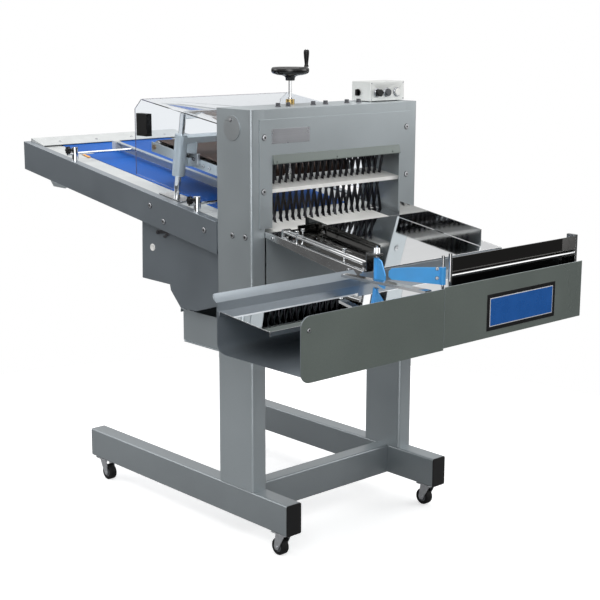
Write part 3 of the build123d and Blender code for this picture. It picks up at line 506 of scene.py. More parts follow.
def clear_sheet():
    """Clear plastic that lets light through to what stands under it."""
    name = "clear sheet"
    found = bpy.data.materials.get(name)
    if found:
        return found
    made = bpy.data.materials.new(name)
    made.use_nodes = True
    tree = made.node_tree
    shader = tree.nodes["Principled BSDF"]
    shader.inputs["Base Color"].default_value = solid(colours().clear)
    shader.inputs["Transmission Weight"].default_value = 1.0
    shader.inputs["IOR"].default_value = 1.14
    smudge = tree.nodes.new("ShaderNodeGroup")
    smudge.node_tree = GROUPS["moulded"]
    smudge.inputs["Roughness"].default_value = 0.03
    tree.links.new(smudge.outputs["Roughness"], shader.inputs["Roughness"])
    pass_light = tree.nodes.new("ShaderNodeBsdfTransparent")
    pass_light.inputs["Color"].default_value = (0.9, 0.91, 0.93, 1)
    mix = tree.nodes.new("ShaderNodeMixShader")
    path = tree.nodes.new("ShaderNodeLightPath")
    tree.links.new(path.outputs["Is Shadow Ray"], mix.inputs["Fac"])
    tree.links.new(shader.outputs[0], mix.inputs[1])
    tree.links.new(pass_light.outputs[0], mix.inputs[2])
    tree.links.new(mix.outputs[0], tree.nodes["Material Output"].inputs["Surface"])
    return made


def sheet_edge():
    return plastic("clear sheet edge", linear(96, 92, 112), 0.15, 200.0, 0.02)


# Mesh helpers

def add_box(bm, x0, x1, y0, y1, z0, z1):
    """A box between two corners in millimetres on the machine."""
    low, high = at(x0, y0, z0), at(x1, y1, z1)
    for vert in bmesh.ops.create_cube(bm, size=1.0)["verts"]:
        vert.co = Vector([(low[i] + high[i]) / 2 + vert.co[i] * (high[i] - low[i]) for i in range(3)])


def add_prism(bm, outline, offset):
    """Closed prism over an outline of points in the row frame, carried along offset."""
    near = [bm.verts.new(p) for p in outline]
    far = [bm.verts.new(p + offset) for p in outline]
    bm.faces.new(near)
    bm.faces.new(list(reversed(far)))
    count = len(outline)
    for i in range(count):
        j = (i + 1) % count
        bm.faces.new((near[j], near[i], far[i], far[j]))


def add_lathe(bm, profile, base, direction, segments=48):
    """Surface of revolution: profile holds (radius, height) in mm along direction from base."""
    turn = Vector(direction).to_track_quat("Z", "Y").to_matrix()
    rings = []
    for radius, height in profile:
        if radius == 0:
            rings.append([bm.verts.new(base + turn @ Vector((0, 0, height * MM)))])
            continue
        ring = []
        for k in range(segments):
            angle = 2 * math.pi * k / segments
            spot = Vector((radius * math.cos(angle), radius * math.sin(angle), height)) * MM
            ring.append(bm.verts.new(base + turn @ spot))
        rings.append(ring)
    for low, high in zip(rings, rings[1:]):
        for k in range(segments):
            j = (k + 1) % segments
            face = [low[k % len(low)], low[j % len(low)], high[j % len(high)], high[k % len(high)]]
            kept = [v for i, v in enumerate(face) if v not in face[:i]]
            if len(kept) > 2:
                bm.faces.new(kept)


def finished(name, bm, materials, body, edge=0.0, smooth=35.0, index=None):
    """Make the piece's object: outward normals, rounded edges, material and body."""
    bmesh.ops.remove_doubles(bm, verts=bm.verts, dist=1e-6)
    bmesh.ops.recalc_face_normals(bm, faces=bm.faces)
    mesh = bpy.data.meshes.new(name)
    bm.to_mesh(mesh)
    bm.free()
    return dressed_object(name, mesh, materials, body, edge, smooth, index)


def dressed_object(name, mesh, materials, body, edge, smooth, index):
    """The object of a piece; index picks the material of a face."""
    mesh.materials.clear()
    for item in materials if isinstance(materials, (list, tuple)) else [materials]:
        mesh.materials.append(item)
    if index:
        for face in mesh.polygons:
            face.material_index = index(face, mesh)
    mesh.shade_smooth()
    mesh.set_sharp_from_angle(angle=math.radians(smooth))
    piece = bpy.data.objects.new(name, mesh)
    bpy.context.scene.collection.objects.link(piece)
    if edge:
        bevel = piece.modifiers.new("edges", "BEVEL")
        bevel.width = edge
        bevel.segments = 2
        bevel.limit_method = "ANGLE"
        bevel.angle_limit = math.radians(40)
        bevel.harden_normals = True
        bevel.use_clamp_overlap = True
    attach(piece, body)
    return piece


def body_of(node):
    return frame["nodes"][node]["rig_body"]


def dress(node, materials, edge=None, smooth=35.0, index=None):
    """A merged copy of a CAD node with rounded edges that stands for it."""
    bm = bmesh.new()
    bm.from_mesh(frame["nodes"][node].data)
    bmesh.ops.remove_doubles(bm, verts=bm.verts, dist=2e-6)
    bmesh.ops.dissolve_limit(bm, angle_limit=math.radians(0.5), verts=bm.verts, edges=bm.edges)
    mesh = bpy.data.meshes.new(node + "_mesh")
    bm.to_mesh(mesh)
    bm.free()
    width = sizes().edge if edge is None else edge
    piece = dressed_object(node + "_piece", mesh, materials, body_of(node), width, smooth,
                           index)
    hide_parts(node)


def face_centre(face, mesh):
    """Middle of a face in millimetres on the machine."""
    spot = face.center
    return ((spot.x - CENTRE_X) / MM, (spot.y - CENTRE_Y) / MM, (spot.z - FEET_Z) / MM)


# Geometry Nodes for what repeats

def row_tree():
    """A row of screw heads along a line: dark washer, head, chamfer, and a dark disc on the head that is
    painted shade for the drive recess.
    """
    tree = bpy.data.node_groups.new("screw row", "GeometryNodeTree")
    plan = [("Start", "Vector"), ("Step", "Vector"), ("Turn", "Vector"), ("Count", "Int"),
            ("Sides", "Int"), ("Radius", "Float"), ("Height", "Float"), ("Head", "Material"),
            ("Recess shade and washer", "Material")]
    for label, kind in plan:
        tree.interface.new_socket(label, in_out="INPUT", socket_type="NodeSocket" + kind)
    tree.interface.new_socket("Geometry", in_out="OUTPUT", socket_type="NodeSocketGeometry")
    new, link = tree.nodes.new, tree.links.new
    given = new("NodeGroupInput")
    out = new("NodeGroupOutput")

    def share(value, part):
        node = new("ShaderNodeMath")
        node.operation = "MULTIPLY"
        link(value, node.inputs[0])
        node.inputs[1].default_value = part
        return node.outputs[0]

    def lifted(geometry, height):
        place = new("ShaderNodeCombineXYZ")
        link(height, place.inputs["Z"])
        move = new("GeometryNodeTransform")
        link(geometry, move.inputs["Geometry"])
        link(place.outputs[0], move.inputs["Translation"])
        return move.outputs[0]

    def cone(sides, low, high, depth):
        node = new("GeometryNodeMeshCone")
        link(sides, node.inputs["Vertices"])
        link(low, node.inputs["Radius Bottom"])
        link(high, node.inputs["Radius Top"])
        link(depth, node.inputs["Depth"])
        return node.outputs["Mesh"]

    def coloured(geometry, socket):
        node = new("GeometryNodeSetMaterial")
        link(geometry, node.inputs["Geometry"])
        link(socket, node.inputs["Material"])
        return node.outputs[0]

    sides, radius, height = given.outputs["Sides"], given.outputs["Radius"], given.outputs["Height"]
    shank = share(height, 0.62)
    drive = share(radius, 0.42)
    wide = share(radius, 1.17)
    six = new("FunctionNodeInputInt")
    six.integer = 6
    body = cone(sides, radius, radius, shank)
    top = lifted(cone(sides, radius, share(radius, 0.78), share(height, 0.38)), shank)
    # The drive recess is a flat dark disc on the head: painted shade where the socket would be.
    recess = lifted(cone(six.outputs[0], drive, drive, share(height, 0.04)), height)
    washer = cone(sides, wide, wide, share(height, 0.16))
    join = new("GeometryNodeJoinGeometry")
    for geometry, finish in ((body, "Head"), (top, "Head"), (recess, "Recess shade and washer"), (washer, "Recess shade and washer")):
        link(coloured(geometry, given.outputs[finish]), join.inputs[0])
    line = new("GeometryNodeMeshLine")
    line.mode = "OFFSET"
    link(given.outputs["Count"], line.inputs["Count"])
    link(given.outputs["Start"], line.inputs["Start Location"])
    link(given.outputs["Step"], line.inputs["Offset"])
    turn = new("FunctionNodeEulerToRotation")
    link(given.outputs["Turn"], turn.inputs[0])
    spread_out = new("GeometryNodeInstanceOnPoints")
    link(line.outputs[0], spread_out.inputs["Points"])
    link(join.outputs[0], spread_out.inputs["Instance"])
    link(turn.outputs[0], spread_out.inputs["Rotation"])
    real = new("GeometryNodeRealizeInstances")
    link(spread_out.outputs[0], real.inputs[0])
    link(real.outputs[0], out.inputs[0])
    return tree


def from_tree(name, tree, values):
    """Run a Geometry Nodes tree on an empty mesh and return the plain mesh it makes."""
    holder = bpy.data.objects.new(name + " source", bpy.data.meshes.new(name + " source"))
    bpy.context.scene.collection.objects.link(holder)
    modifier = holder.modifiers.new("nodes", "NODES")
    modifier.node_group = tree
    for item in tree.interface.items_tree:
        if item.in_out == "INPUT" and item.name in values:
            modifier[item.identifier] = values[item.name]
    graph = bpy.context.evaluated_depsgraph_get()
    mesh = bpy.data.meshes.new_from_object(holder.evaluated_get(graph))
    bpy.data.objects.remove(holder)
    return mesh


def screw_row(name, body, start, step, count, turn, radius=None, height=0.001, sides=28, head=None):
    """Screw heads from start in mm, a step apart; their own sizes are in metres."""
    values = {
        "Start": tuple(at(*start)), "Step": tuple(Vector(step) * MM), "Turn": turn, "Count": count,
        "Sides": sides, "Radius": radius or sizes().screw_radius, "Height": height,
        "Head": head or zinc(), "Recess shade and washer": recess_shade_and_washer(),
    }
    mesh = from_tree(name, TREES["row"], values)
    mesh.shade_smooth()
    mesh.set_sharp_from_angle(angle=math.radians(30))
    piece = bpy.data.objects.new(name, mesh)
    bpy.context.scene.collection.objects.link(piece)
    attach(piece, body)


def screw(name, place, turn, radius, height):
    screw_row(name, "frame", place, (0, 0, 0), 1, turn, radius, height)


TREES = {}
TO_FRONT = (math.pi / 2, 0.0, 0.0)
TO_REAR = (-math.pi / 2, 0.0, 0.0)
TO_LEFT = (0.0, -math.pi / 2, 0.0)
TO_RIGHT = (0.0, math.pi / 2, 0.0)


class PieceOperator(bpy.types.Operator):
    """Base of the operators that make pieces"""
    bl_options = {"REGISTER", "UNDO"}


class SLICER_OT_base(PieceOperator):
    """Foot tubes with their end plugs, caster plates and columns"""
    bl_idname = "slicer.base"
    bl_label = "Base and columns"

    def execute(self, context):
        dress("base_tubes", leg_paint(), edge=0.0022)
        dress("columns", head_paint(), edge=0.0)
        dress("foot_end_plugs", black_plastic(), edge=0.0016)
        dress("caster_plates", zinc(), edge=0.0006)
        return {"FINISHED"}


class SLICER_OT_casters(PieceOperator):
    """Caster forks and wheels"""
    bl_idname = "slicer.casters"
    bl_label = "Casters"

    def execute(self, context):
        for end in ("front", "rear"):
            for side in ("left", "right"):
                corner = end + "_" + side
                dress(corner + "_fork", zinc(), edge=0.0007)
                self.wheel(corner)
        return {"FINISHED"}

    def wheel(self, corner):
        """Rounded tread on a recessed hub."""
        node = corner + "_wheel"
        low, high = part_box(node)
        middle = (low + high) / 2
        half = (high.x - low.x) / 2 / MM
        radius = (high.z - low.z) / 2 / MM
        soft = sizes().tread / MM
        side = [(4.1, half), (8.5, half), (9.5, half - 1.2), (15.5, half - 2.2), (16.5, half - 0.4),
                (radius - soft, half), (radius - soft * 0.3, half - soft * 0.35), (radius, half - soft)]
        profile = side + [(r, -h) for r, h in reversed(side)]
        bm = bmesh.new()
        add_lathe(bm, profile + [profile[0]], middle, (1, 0, 0), 56)

        def hub(face, mesh):
            spot = face.center - middle
            return 1 if math.hypot(spot.y, spot.z) < 16 * MM else 0

        hub_plastic = plastic("hub plastic", linear(92, 94, 98), 0.4)
        piece = finished(corner + "_tread", bm, [black_rubber(), hub_plastic], node,
                         index=hub, smooth=30)
        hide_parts(node)


class SLICER_OT_head(PieceOperator):
    """Top cover, front and rear covers, visor, nameplate and bearing blocks"""
    bl_idname = "slicer.head"
    bl_label = "Head casing"

    def execute(self, context):
        dress("top_cover", head_paint())
        dress("front_cover", head_paint())
        dress("rear_cover", head_paint())
        # The visor is a darker copy of the head paint: painted shade, so that its upward tilt doesn't read
        # lighter than the cover beside it.
        dress("visor", paint("visor shaded paint", linear(98, 106, 103)), edge=0.0004)
        dress("chamber_panels", head_paint())
        dress("bearing_blocks", cast_paint(), edge=0.0012)
        self.fascia()
        self.nameplate()
        return {"FINISHED"}

    def fascia(self):
        """Thin strip that brings the top cover's front fold level with the columns."""
        bm = bmesh.new()
        add_box(bm, -FASCIA_HALF, FASCIA_HALF, COLUMN_FRONT + SKIN, COLUMN_FRONT + 2.2, HEAD_TOP - TOP_FOLD,
                HEAD_TOP - SKIN)
        finished("head_fascia", bm, head_paint(), "frame", edge=0.0008)

    def nameplate(self):
        """Blank plate on the front cover, held by four small rivets."""
        left, right, low, high = -279.0, -125.0, 1181.0, 1226.0
        face, inset = COVER_FACE - 0.8, 4
        bm = bmesh.new()
        add_box(bm, left, right, face, COVER_FACE, low, high)
        plate = metal("plate steel", (0.46, 0.47, 0.5), 0.3, 0.07)
        finished("blank_nameplate", bm, plate, "frame", edge=0.0003)
        for tag, z in (("low", low + inset), ("high", high - inset)):
            screw_row("nameplate_rivets_" + tag, "frame", (left + inset, face, z),
                      (right - left - 2 * inset, 0, 0), 2, TO_FRONT, 0.0014, 0.0008, 16)


class SLICER_OT_blades(PieceOperator):
    """Blade bands, drums and the two blade guides"""
    bl_idname = "slicer.blades"
    bl_label = "Blades and drums"

    def execute(self, context):
        dress("blade_bands", blade_steel(), edge=0.0)
        alloy = metal("drum alloy", (0.6, 0.61, 0.62), 0.35, 0.1, (8.0, 400.0, 400.0))
        dress("upper_drum", alloy, edge=0.001)
        dress("lower_drum", alloy, edge=0.001)

        def steel_end(face, mesh):
            """The guide's right end is bare steel."""
            return 1 if face_centre(face, mesh)[0] > 222.5 else 0

        dress("lower_blade_guide", [white_plastic(), mirror_steel()], edge=0.0004, index=steel_end)
        dress("upper_blade_guide", white_plastic(), edge=0.0004)
        return {"FINISHED"}


class SLICER_OT_handwheel(PieceOperator):
    """Handwheel with its spindle, pin and crank handle"""
    bl_idname = "slicer.handwheel"
    bl_label = "Handwheel"

    def execute(self, context):
        self.rim()
        self.spindle()
        self.crank()
        return {"FINISHED"}

    def rim(self):
        wheel = [(0, 1386), (13, 1386), (15, 1384), (30, 1382), (42, 1384), (46, 1390), (48.5, 1396.5),
                 (52, 1399.6), (55.5, 1399.4), (58.6, 1396.5), (60, 1391), (59.4, 1385.5), (56.5, 1381),
                 (50, 1378), (40, 1375.6), (26, 1374), (18, 1371), (15, 1366), (14.5, 1359.5),
                 (13.5, 1358.2), (0, 1358.2)]
        bm = bmesh.new()
        add_lathe(bm, wheel, at(*SPINDLE, 0), (0, 0, 1), 72)
        rim = finished("handwheel_rim", bm, plastic("handwheel black", linear(20, 20, 21), 0.24),
                       "handwheel", smooth=40)
        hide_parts("handwheel")

    def spindle(self):
        """Screw from the hub down into the head, with a collar and its thread."""
        turns, pitch, top, foot, radius, root = 66, 4, 1299, 1036, 5, 4.3
        outline = [(0, 1359), (radius, 1359), (radius, 1306), (9, 1305.6), (9, 1301.8), (radius, 1301.6)]
        for k in range(turns):
            height = top - pitch * k
            outline.extend([(radius, height), (root, height - 1), (root, height - 2), (radius, height - 3)])
        outline.extend([(radius, foot), (0, foot)])
        bm = bmesh.new()
        add_lathe(bm, outline, at(*SPINDLE, 0), (0, 0, 1), 28)
        finished("handwheel_spindle", bm, chrome(), "handwheel", smooth=30)

    def crank(self):
        """Pin on the rim and the grip that turns on it."""
        bm = bmesh.new()
        add_lathe(bm, [(0, 1384), (3, 1384), (3, 1455.2), (2.4, 1456), (0, 1456)], at(*CRANK, 0),
                  (0, 0, 1), 24)
        finished("crank_pin", bm, chrome(), "handwheel", smooth=30)
        grip = [(3.1, 1401), (6.4, 1400.6), (7.4, 1402), (7.2, 1404), (5.6, 1408), (6.2, 1416),
                (7.8, 1430), (8.8, 1442), (8.9, 1448), (7.8, 1452), (5.5, 1453.8), (3.1, 1454)]
        bm = bmesh.new()
        add_lathe(bm, grip + [grip[0]], at(*CRANK, 0), (0, 0, 1), 40)
        piece = finished("crank_grip", bm, black_plastic(), "crank_handle",
                         smooth=50)
        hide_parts("crank_handle")


class SLICER_OT_controls(PieceOperator):
    """Control box with its turn switch, knob and two buttons"""
    bl_idname = "slicer.controls"
    bl_label = "Controls"

    def execute(self, context):
        dress("control_box", pale_paint(), edge=0.0012)
        grey_button = plastic("grey button", linear(70, 72, 76), 0.35)
        self.knob("speed", "speed_knob", 224, 19, 6.1, black_plastic())
        self.knob("stop", "stop_button", 268, 13, KNOB_HEAD + 0.5, grey_button)
        self.knob("start", "start_button", 315, 9, KNOB_HEAD + 0.5, white_plastic())
        dress("power_switch", black_plastic(), edge=0.0012)
        for tag, z in (("low", 1293.0), ("high", 1344.0)):
            screw_row("box_screws_" + tag, "frame", (198.5, CONTROL_FACE, z), (148, 0, 0), 2, TO_FRONT,
                      0.0022, 0.0012, 20)
        return {"FINISHED"}

    def knob(self, name, node, x, length, bore, finish):
        """A round head of some length and the collar round it, whose bore lets a button in."""
        base = at(x, CONTROL_FACE, CONTROL_Z)
        profile = [(0, -7.8), (5.9, -7.8), (5.9, 5.2), (KNOB_HEAD - 1.5, 5.2), (KNOB_HEAD - 0.2, 6.2),
                   (KNOB_HEAD - 0.6, length - 1.6), (KNOB_HEAD - 2.2, length - 0.1), (0, length)]
        bm = bmesh.new()
        add_lathe(bm, profile, base, (0, -1, 0), 40)
        piece = finished(name + "_cap", bm, finish, node, smooth=40)
        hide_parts(node)
        collar = [(bore, 0), (14.8, 0), (15.2, 0.8), (14.4, 3.6), (13.4, 4.6), (bore, 4.6)]
        bm = bmesh.new()
        add_lathe(bm, collar + [collar[0]], base, (0, -1, 0), 40)
        finished(name + "_ring", bm, ring_steel(), "frame", smooth=40)


class SLICER_OT_drive(PieceOperator):
    """Motor, pulleys, belts, their housing and the crumb drawer"""
    bl_idname = "slicer.drive"
    bl_label = "Drive and drawer"

    def execute(self, context):
        dress("motor", cast_paint(), edge=0.0015)
        dress("motor_pulley", brushed(), edge=0.0008)
        dress("drive_belts", black_rubber(), edge=0.0, smooth=30)

        def gland(face, mesh):
            return 1 if face_centre(face, mesh)[1] > 520.5 else 0

        dress("drive_housing", [rail_paint(), black_plastic()], index=gland)
        dress("crumb_drawer", head_paint(), edge=0.0005)
        self.plug()
        return {"FINISHED"}

    def plug(self):
        """Pale blanking plug on the left of the housing."""
        bm = bmesh.new()
        profile = [(0, -1), (12.5, -1), (12.5, 1.2), (11.8, 2.4), (10.2, 3.0), (9.4, 2.4), (0, 2.6)]
        add_lathe(bm, profile, at(-330, 458, 805), (-1, 0, 0), 40)
        finished("housing_plug", bm, white_plastic(), "frame", smooth=40)


class SLICER_OT_infeed(PieceOperator):
    """Infeed rails, bed, belt, rollers and end cover"""
    bl_idname = "slicer.infeed"
    bl_label = "Infeed conveyor"

    def execute(self, context):
        dress("infeed_rails", rail_paint(), edge=0.0010)
        dress("infeed_bed", cream_paint())
        weave = material("belt fabric", "weave", {"Colour": solid(colours().belt), "Threads": 420.0},
                         0.0, 0.6, bump=0.35, specular=0.2)
        dress("infeed_belt", weave, edge=0.0, smooth=30)
        dress("drive_roller", brushed(), edge=0.0006)
        dress("tail_roller", brushed(), edge=0.0006)
        dress("infeed_end_cover", cream_paint(), edge=0.0004)
        bolts_y = 1150
        screw_row("end_cover_bolts", "frame", (-240, bolts_y, belt_top(bolts_y) + 6.6), (160, 0, 0), 4,
                  (math.atan(0.13), 0.0, 0.0), 0.006, 0.004, 6)
        screw_row("end_plate_screws", "frame", (-290, 1204, 1060), (145, 0, 0), 5, TO_REAR)
        self.gusset()
        self.rail_ends()
        self.tail_gap_shade()
        self.hook()
        self.wear_strip()
        return {"FINISHED"}

    def gusset(self):
        """Small folded gusset under the left rail."""
        outline = [(926, RAIL_DEPTH), (1032, RAIL_DEPTH), (1012, 118), (936, 107)]
        bm = bmesh.new()
        add_prism(bm, [at(-359.6, y, rail_top(y) - drop) for y, drop in outline], Vector((3 * MM, 0, 0)))
        finished("rail_gusset", bm, head_paint(), "frame", edge=0.0005)

    def rail_ends(self):
        """Strips that close the gap between the rails and the columns."""
        outline = [(COLUMN_REAR, RAIL_DEPTH), (88.3, RAIL_DEPTH), (88.3, 0), (COLUMN_REAR, 0)]
        for side, left, right in (("left", -360.0, -357.0), ("right", 357.0, 360.0)):
            bm = bmesh.new()
            add_prism(bm, [at(left, y, rail_top(y) - drop) for y, drop in outline],
                      Vector(((right - left) * MM, 0, 0)))
            finished("rail_end_" + side, bm, rail_paint(), "frame")

    def tail_gap_shade(self):
        """Black strip across the belt in front of the end cover: painted shadow of the gap at the belt's
        tail end.
        """
        front, rear = 1128, 1136
        base = belt_top((front + rear) / 2)
        bm = bmesh.new()
        add_box(bm, -262, 245, front, rear, base + 0.4, base + 1.8)
        finished("tail_gap_shade_strip", bm, black_rubber(), "frame", edge=0.0003)

    def hook(self):
        """Flat hook on the housing's left side with its bolt."""
        outline = [(432, 866), (372, 875), (366, 872), (366, 858), (385, 846), (396, 846), (396, 852),
                   (386, 854), (378, 862), (432, 853)]
        bm = bmesh.new()
        add_prism(bm, [at(-330.5, y, z) for y, z in outline], Vector((-3 * MM, 0, 0)))
        add_lathe(bm, [(0, 0), (5, 0), (5, 5), (0, 5.4)], at(-333, 424, 860), (-1, 0, 0), 24)
        finished("housing_hook", bm, dark_bolt(), "frame", edge=0.0004)

    def wear_strip(self):
        """Amber strip on the bed beside the belt."""
        outline = [(-253, 1010), (-246.5, 1008), (-246.5, 940), (-258, 929), (-262, 931)]
        bm = bmesh.new()
        add_prism(bm, [at(x, y, belt_top(y) + 0.2) for x, y in outline], Vector((0, 0, MM)))
        amber = plastic("wear strip", linear(226, 158, 62), 0.4)
        finished("bed_wear_strip", bm, amber, "frame", edge=0.0002)


class SLICER_OT_lane(PieceOperator):
    """Lane guide with its posts and star knobs"""
    bl_idname = "slicer.lane"
    bl_label = "Lane guide"

    def execute(self, context):
        def end_block(face, mesh):
            """Pale block at the guide's rear end, chrome rods to its left."""
            spot = face_centre(face, mesh)
            if spot[1] > 984:
                return 1
            return 2 if spot[0] < -100.5 else 0

        dress("lane_guide", [head_paint(), cream_paint(), chrome()], index=end_block)

        def sleeve(face, mesh):
            """The part of a post that lies on the bed is brushed."""
            spot = face_centre(face, mesh)
            return 1 if spot[2] < belt_top(spot[1]) + 4.5 and spot[0] > -330 else 0

        dress("infeed_posts", [chrome(), brushed()], edge=0.0005, index=sleeve)
        for tag, y in (("front", 206.0), ("rear", 898.0)):
            self.star_knob("lane_knob_" + tag, at(-349, y, rail_top(y) + 37))
        return {"FINISHED"}

    def star_knob(self, name, base):
        """Lobed clamping knob that points to the left."""
        bm = bmesh.new()
        count = 84
        big = sizes().knob_radius
        outline = []
        for k in range(count):
            angle = 2 * math.pi * k / count
            reach = big * (0.88 + 0.12 * math.cos(sizes().knob_lobes * angle))
            outline.append(base + Vector((-0.012, reach * math.cos(angle), reach * math.sin(angle))))
        add_prism(bm, outline, Vector((-0.010, 0, 0)))
        add_lathe(bm, [(0, 0), (5, 0), (5.5, 2), (7.5, 9), (9, 12.5), (0, 12.5)], base, (-1, 0, 0), 32)
        add_lathe(bm, [(0, 21), (7, 21), (6, 24), (0, 24.6)], base, (-1, 0, 0), 32)
        finished(name, bm, black_plastic(), "frame", edge=0.0008, smooth=40)


class SLICER_OT_press(PieceOperator):
    """Press frame, its belt and rollers, and the clear cover over it"""
    bl_idname = "slicer.press"
    bl_label = "Press and clear cover"

    def execute(self, context):
        dress("press_frame", head_paint(), edge=0.0008)
        weave = material("press fabric", "weave", {"Colour": solid(colours().press_belt),
                                                   "Threads": 500.0}, 0.0, 0.65, bump=0.3, specular=0.2)
        dress("press_belt", weave, edge=0.0, smooth=30)

        def journal(face, mesh):
            """The rollers' ends run in bronze."""
            return 1 if abs(face_centre(face, mesh)[0]) > 247 else 0

        for end in ("front", "rear"):
            dress("press_" + end + "_roller", [brushed(), bronze()], edge=0.0005, index=journal)
        self.adjuster()
        self.cover()
        return {"FINISHED"}

    def adjuster(self):
        """Clamp block, its black hand disc and two bolts on the left side bar."""
        bm = bmesh.new()
        add_box(bm, -262, -251.2, 296, 350, 1086, 1122)
        finished("press_clamp_block", bm, zinc(), "press", edge=0.0012)
        disc = [(0, 0), (17, 0), (18.5, 1.2), (18.5, 5.5), (17, 6.8), (9, 7), (8, 9), (0, 9)]
        bm = bmesh.new()
        add_lathe(bm, disc, at(-271.5, 352, 1106), (1, 0, 0), 44)
        finished("press_hand_disc", bm, black_plastic(), "press", smooth=40)
        screw_row("press_clamp_bolt", "press", (-262, 318, 1104), (0, 0, 0), 1, TO_LEFT, 0.006, 0.004, 6,
                  dark_bolt())
        screw_row("press_bar_bolts", "press", (-251, 282, 1083), (0, -31, -5), 2, TO_LEFT, 0.006, 0.004, 6)

    def cover(self):
        """Clear sheets with darker cut edges, the black grip and the hinge's metal."""
        thin = 7.5 * MM

        def part_of(face, mesh):
            spot = face_centre(face, mesh)
            if spot[0] < -323.4:
                return 2
            if spot[1] < 118 or (abs(spot[0]) < 250 and spot[1] < 132 and spot[2] > 1231.4):
                return 3
            points = [mesh.vertices[i].co for i in face.vertices]
            reach = [max(p[i] for p in points) - min(p[i] for p in points) for i in range(3)]
            edge_of_side = abs(face.normal.x) < 0.5 and reach[0] < thin
            edge_of_top = abs(face.normal.z) < 0.5 and reach[2] < thin
            return 1 if edge_of_side or edge_of_top else 0

        dress("clear_cover", [clear_sheet(), sheet_edge(), black_plastic(), chrome()], edge=0.0,
              index=part_of)


class SLICER_OT_outfeed(PieceOperator):
    """Polished bed, arms, rods and the two loaf guides"""
    bl_idname = "slicer.outfeed"
    bl_label = "Outfeed bed"

    def execute(self, context):
        dress("outfeed_bed", mirror_steel())
        dress("outfeed_arms", arm_steel(), edge=0.0008)
        dress("outfeed_rods", rod_steel(), edge=0.0005)
        # The left loaf guide's near-black steel is a painted dark reflection.
        dress("left_outfeed_guide", dark_reflection_steel(), edge=0.0004)
        dress("right_outfeed_guide", mirror_steel(), edge=0.0004)
        self.clamps()
        return {"FINISHED"}

    def clamps(self):
        """Clamp screws beside the twin rods and the knurled knob over the back finger."""
        for tag, x, y in (("a", -285, -204), ("b", -249, -191), ("c", -273, -394)):
            stem = [(0, 0), (3, 0), (3, 24), (6.5, 24), (7, 25), (7, 31), (6, 32), (3, 32.5), (0, 32.5)]
            bm = bmesh.new()
            add_lathe(bm, stem, at(x, y, bed_top(y) + 1), (0, 0, 1), 28)
            finished("clamp_screw_" + tag, bm, chrome(), "frame", smooth=35)
        knurl = [(0, 908.5), (8.6, 908.5), (9.2, 909.4)]
        for k in range(6):
            knurl.extend([(9.2, 910 + 2 * k), (8.8, 911 + 2 * k)])
        knurl.extend([(9.2, 922), (8.4, 924.4), (4.2, 925), (4.2, 930), (0, 930.4)])
        bm = bmesh.new()
        add_lathe(bm, knurl, at(-280, -530, 0), (0, 0, 1), 40)
        finished("finger_knob", bm, chrome(), "frame", smooth=35)


class SLICER_OT_trough(PieceOperator):
    """Bagging trough, bag side, tray, stop plate and blank panel"""
    bl_idname = "slicer.trough"
    bl_label = "Bagging trough"

    def execute(self, context):
        def outer_front(face, mesh):
            return 1 if face.normal.y < -0.3 and face_centre(face, mesh)[1] < -790 else 0

        both = [rail_paint(), trough_paint()]
        dress("trough_housing", both, edge=0.0009, index=outer_front)
        dress("bag_side_panel", both, edge=0.0009, index=outer_front)
        dress("packing_tray", tray_mirror(), edge=0.0004, smooth=30)
        # The stop plate's near-black steel is a painted dark reflection.
        dress("stop_plate", dark_reflection_steel())
        self.panel()
        return {"FINISHED"}

    def panel(self):
        """Blank plate: dark border, pale line and a blue field."""
        width, height = sizes().panel_width / MM, sizes().panel_height / MM
        middle_x, middle_z = 6.0, 765.0
        layers = (("panel_border", 0.0, 1.2, plastic("panel border", linear(16, 16, 18), 0.3)),
                  ("panel_line", 11.0, 1.6, plastic("panel line", linear(226, 228, 232), 0.3)),
                  ("panel_field", 13.2, 2.0, plastic("panel field", colours().panel, 0.28)))
        for name, inset, depth, finish in layers:
            bm = bmesh.new()
            add_box(bm, middle_x - width / 2 + inset, middle_x + width / 2 - inset, TROUGH_FACE - depth,
                    TROUGH_FACE, middle_z - height / 2 + inset, middle_z + height / 2 - inset)
            finished(name, bm, finish, "frame", edge=0.0003)


class SLICER_OT_fingers(PieceOperator):
    """Blue bag fingers"""
    bl_idname = "slicer.fingers"
    bl_label = "Bag fingers"

    def execute(self, context):
        dress("back_finger", finger_plastic(), edge=0.0008)
        dress("front_finger", finger_plastic(), edge=0.0008)
        facing = Vector((-0.643, -0.766, 0))
        spot = (-320.8, -791.4, 881.5)
        turn = tuple(facing.to_track_quat("Z", "Y").to_euler())
        screw_row("finger_screws", "front_finger", spot, (0, 0, 25), 2, turn, 0.0042, 0.0022, 20)
        return {"FINISHED"}


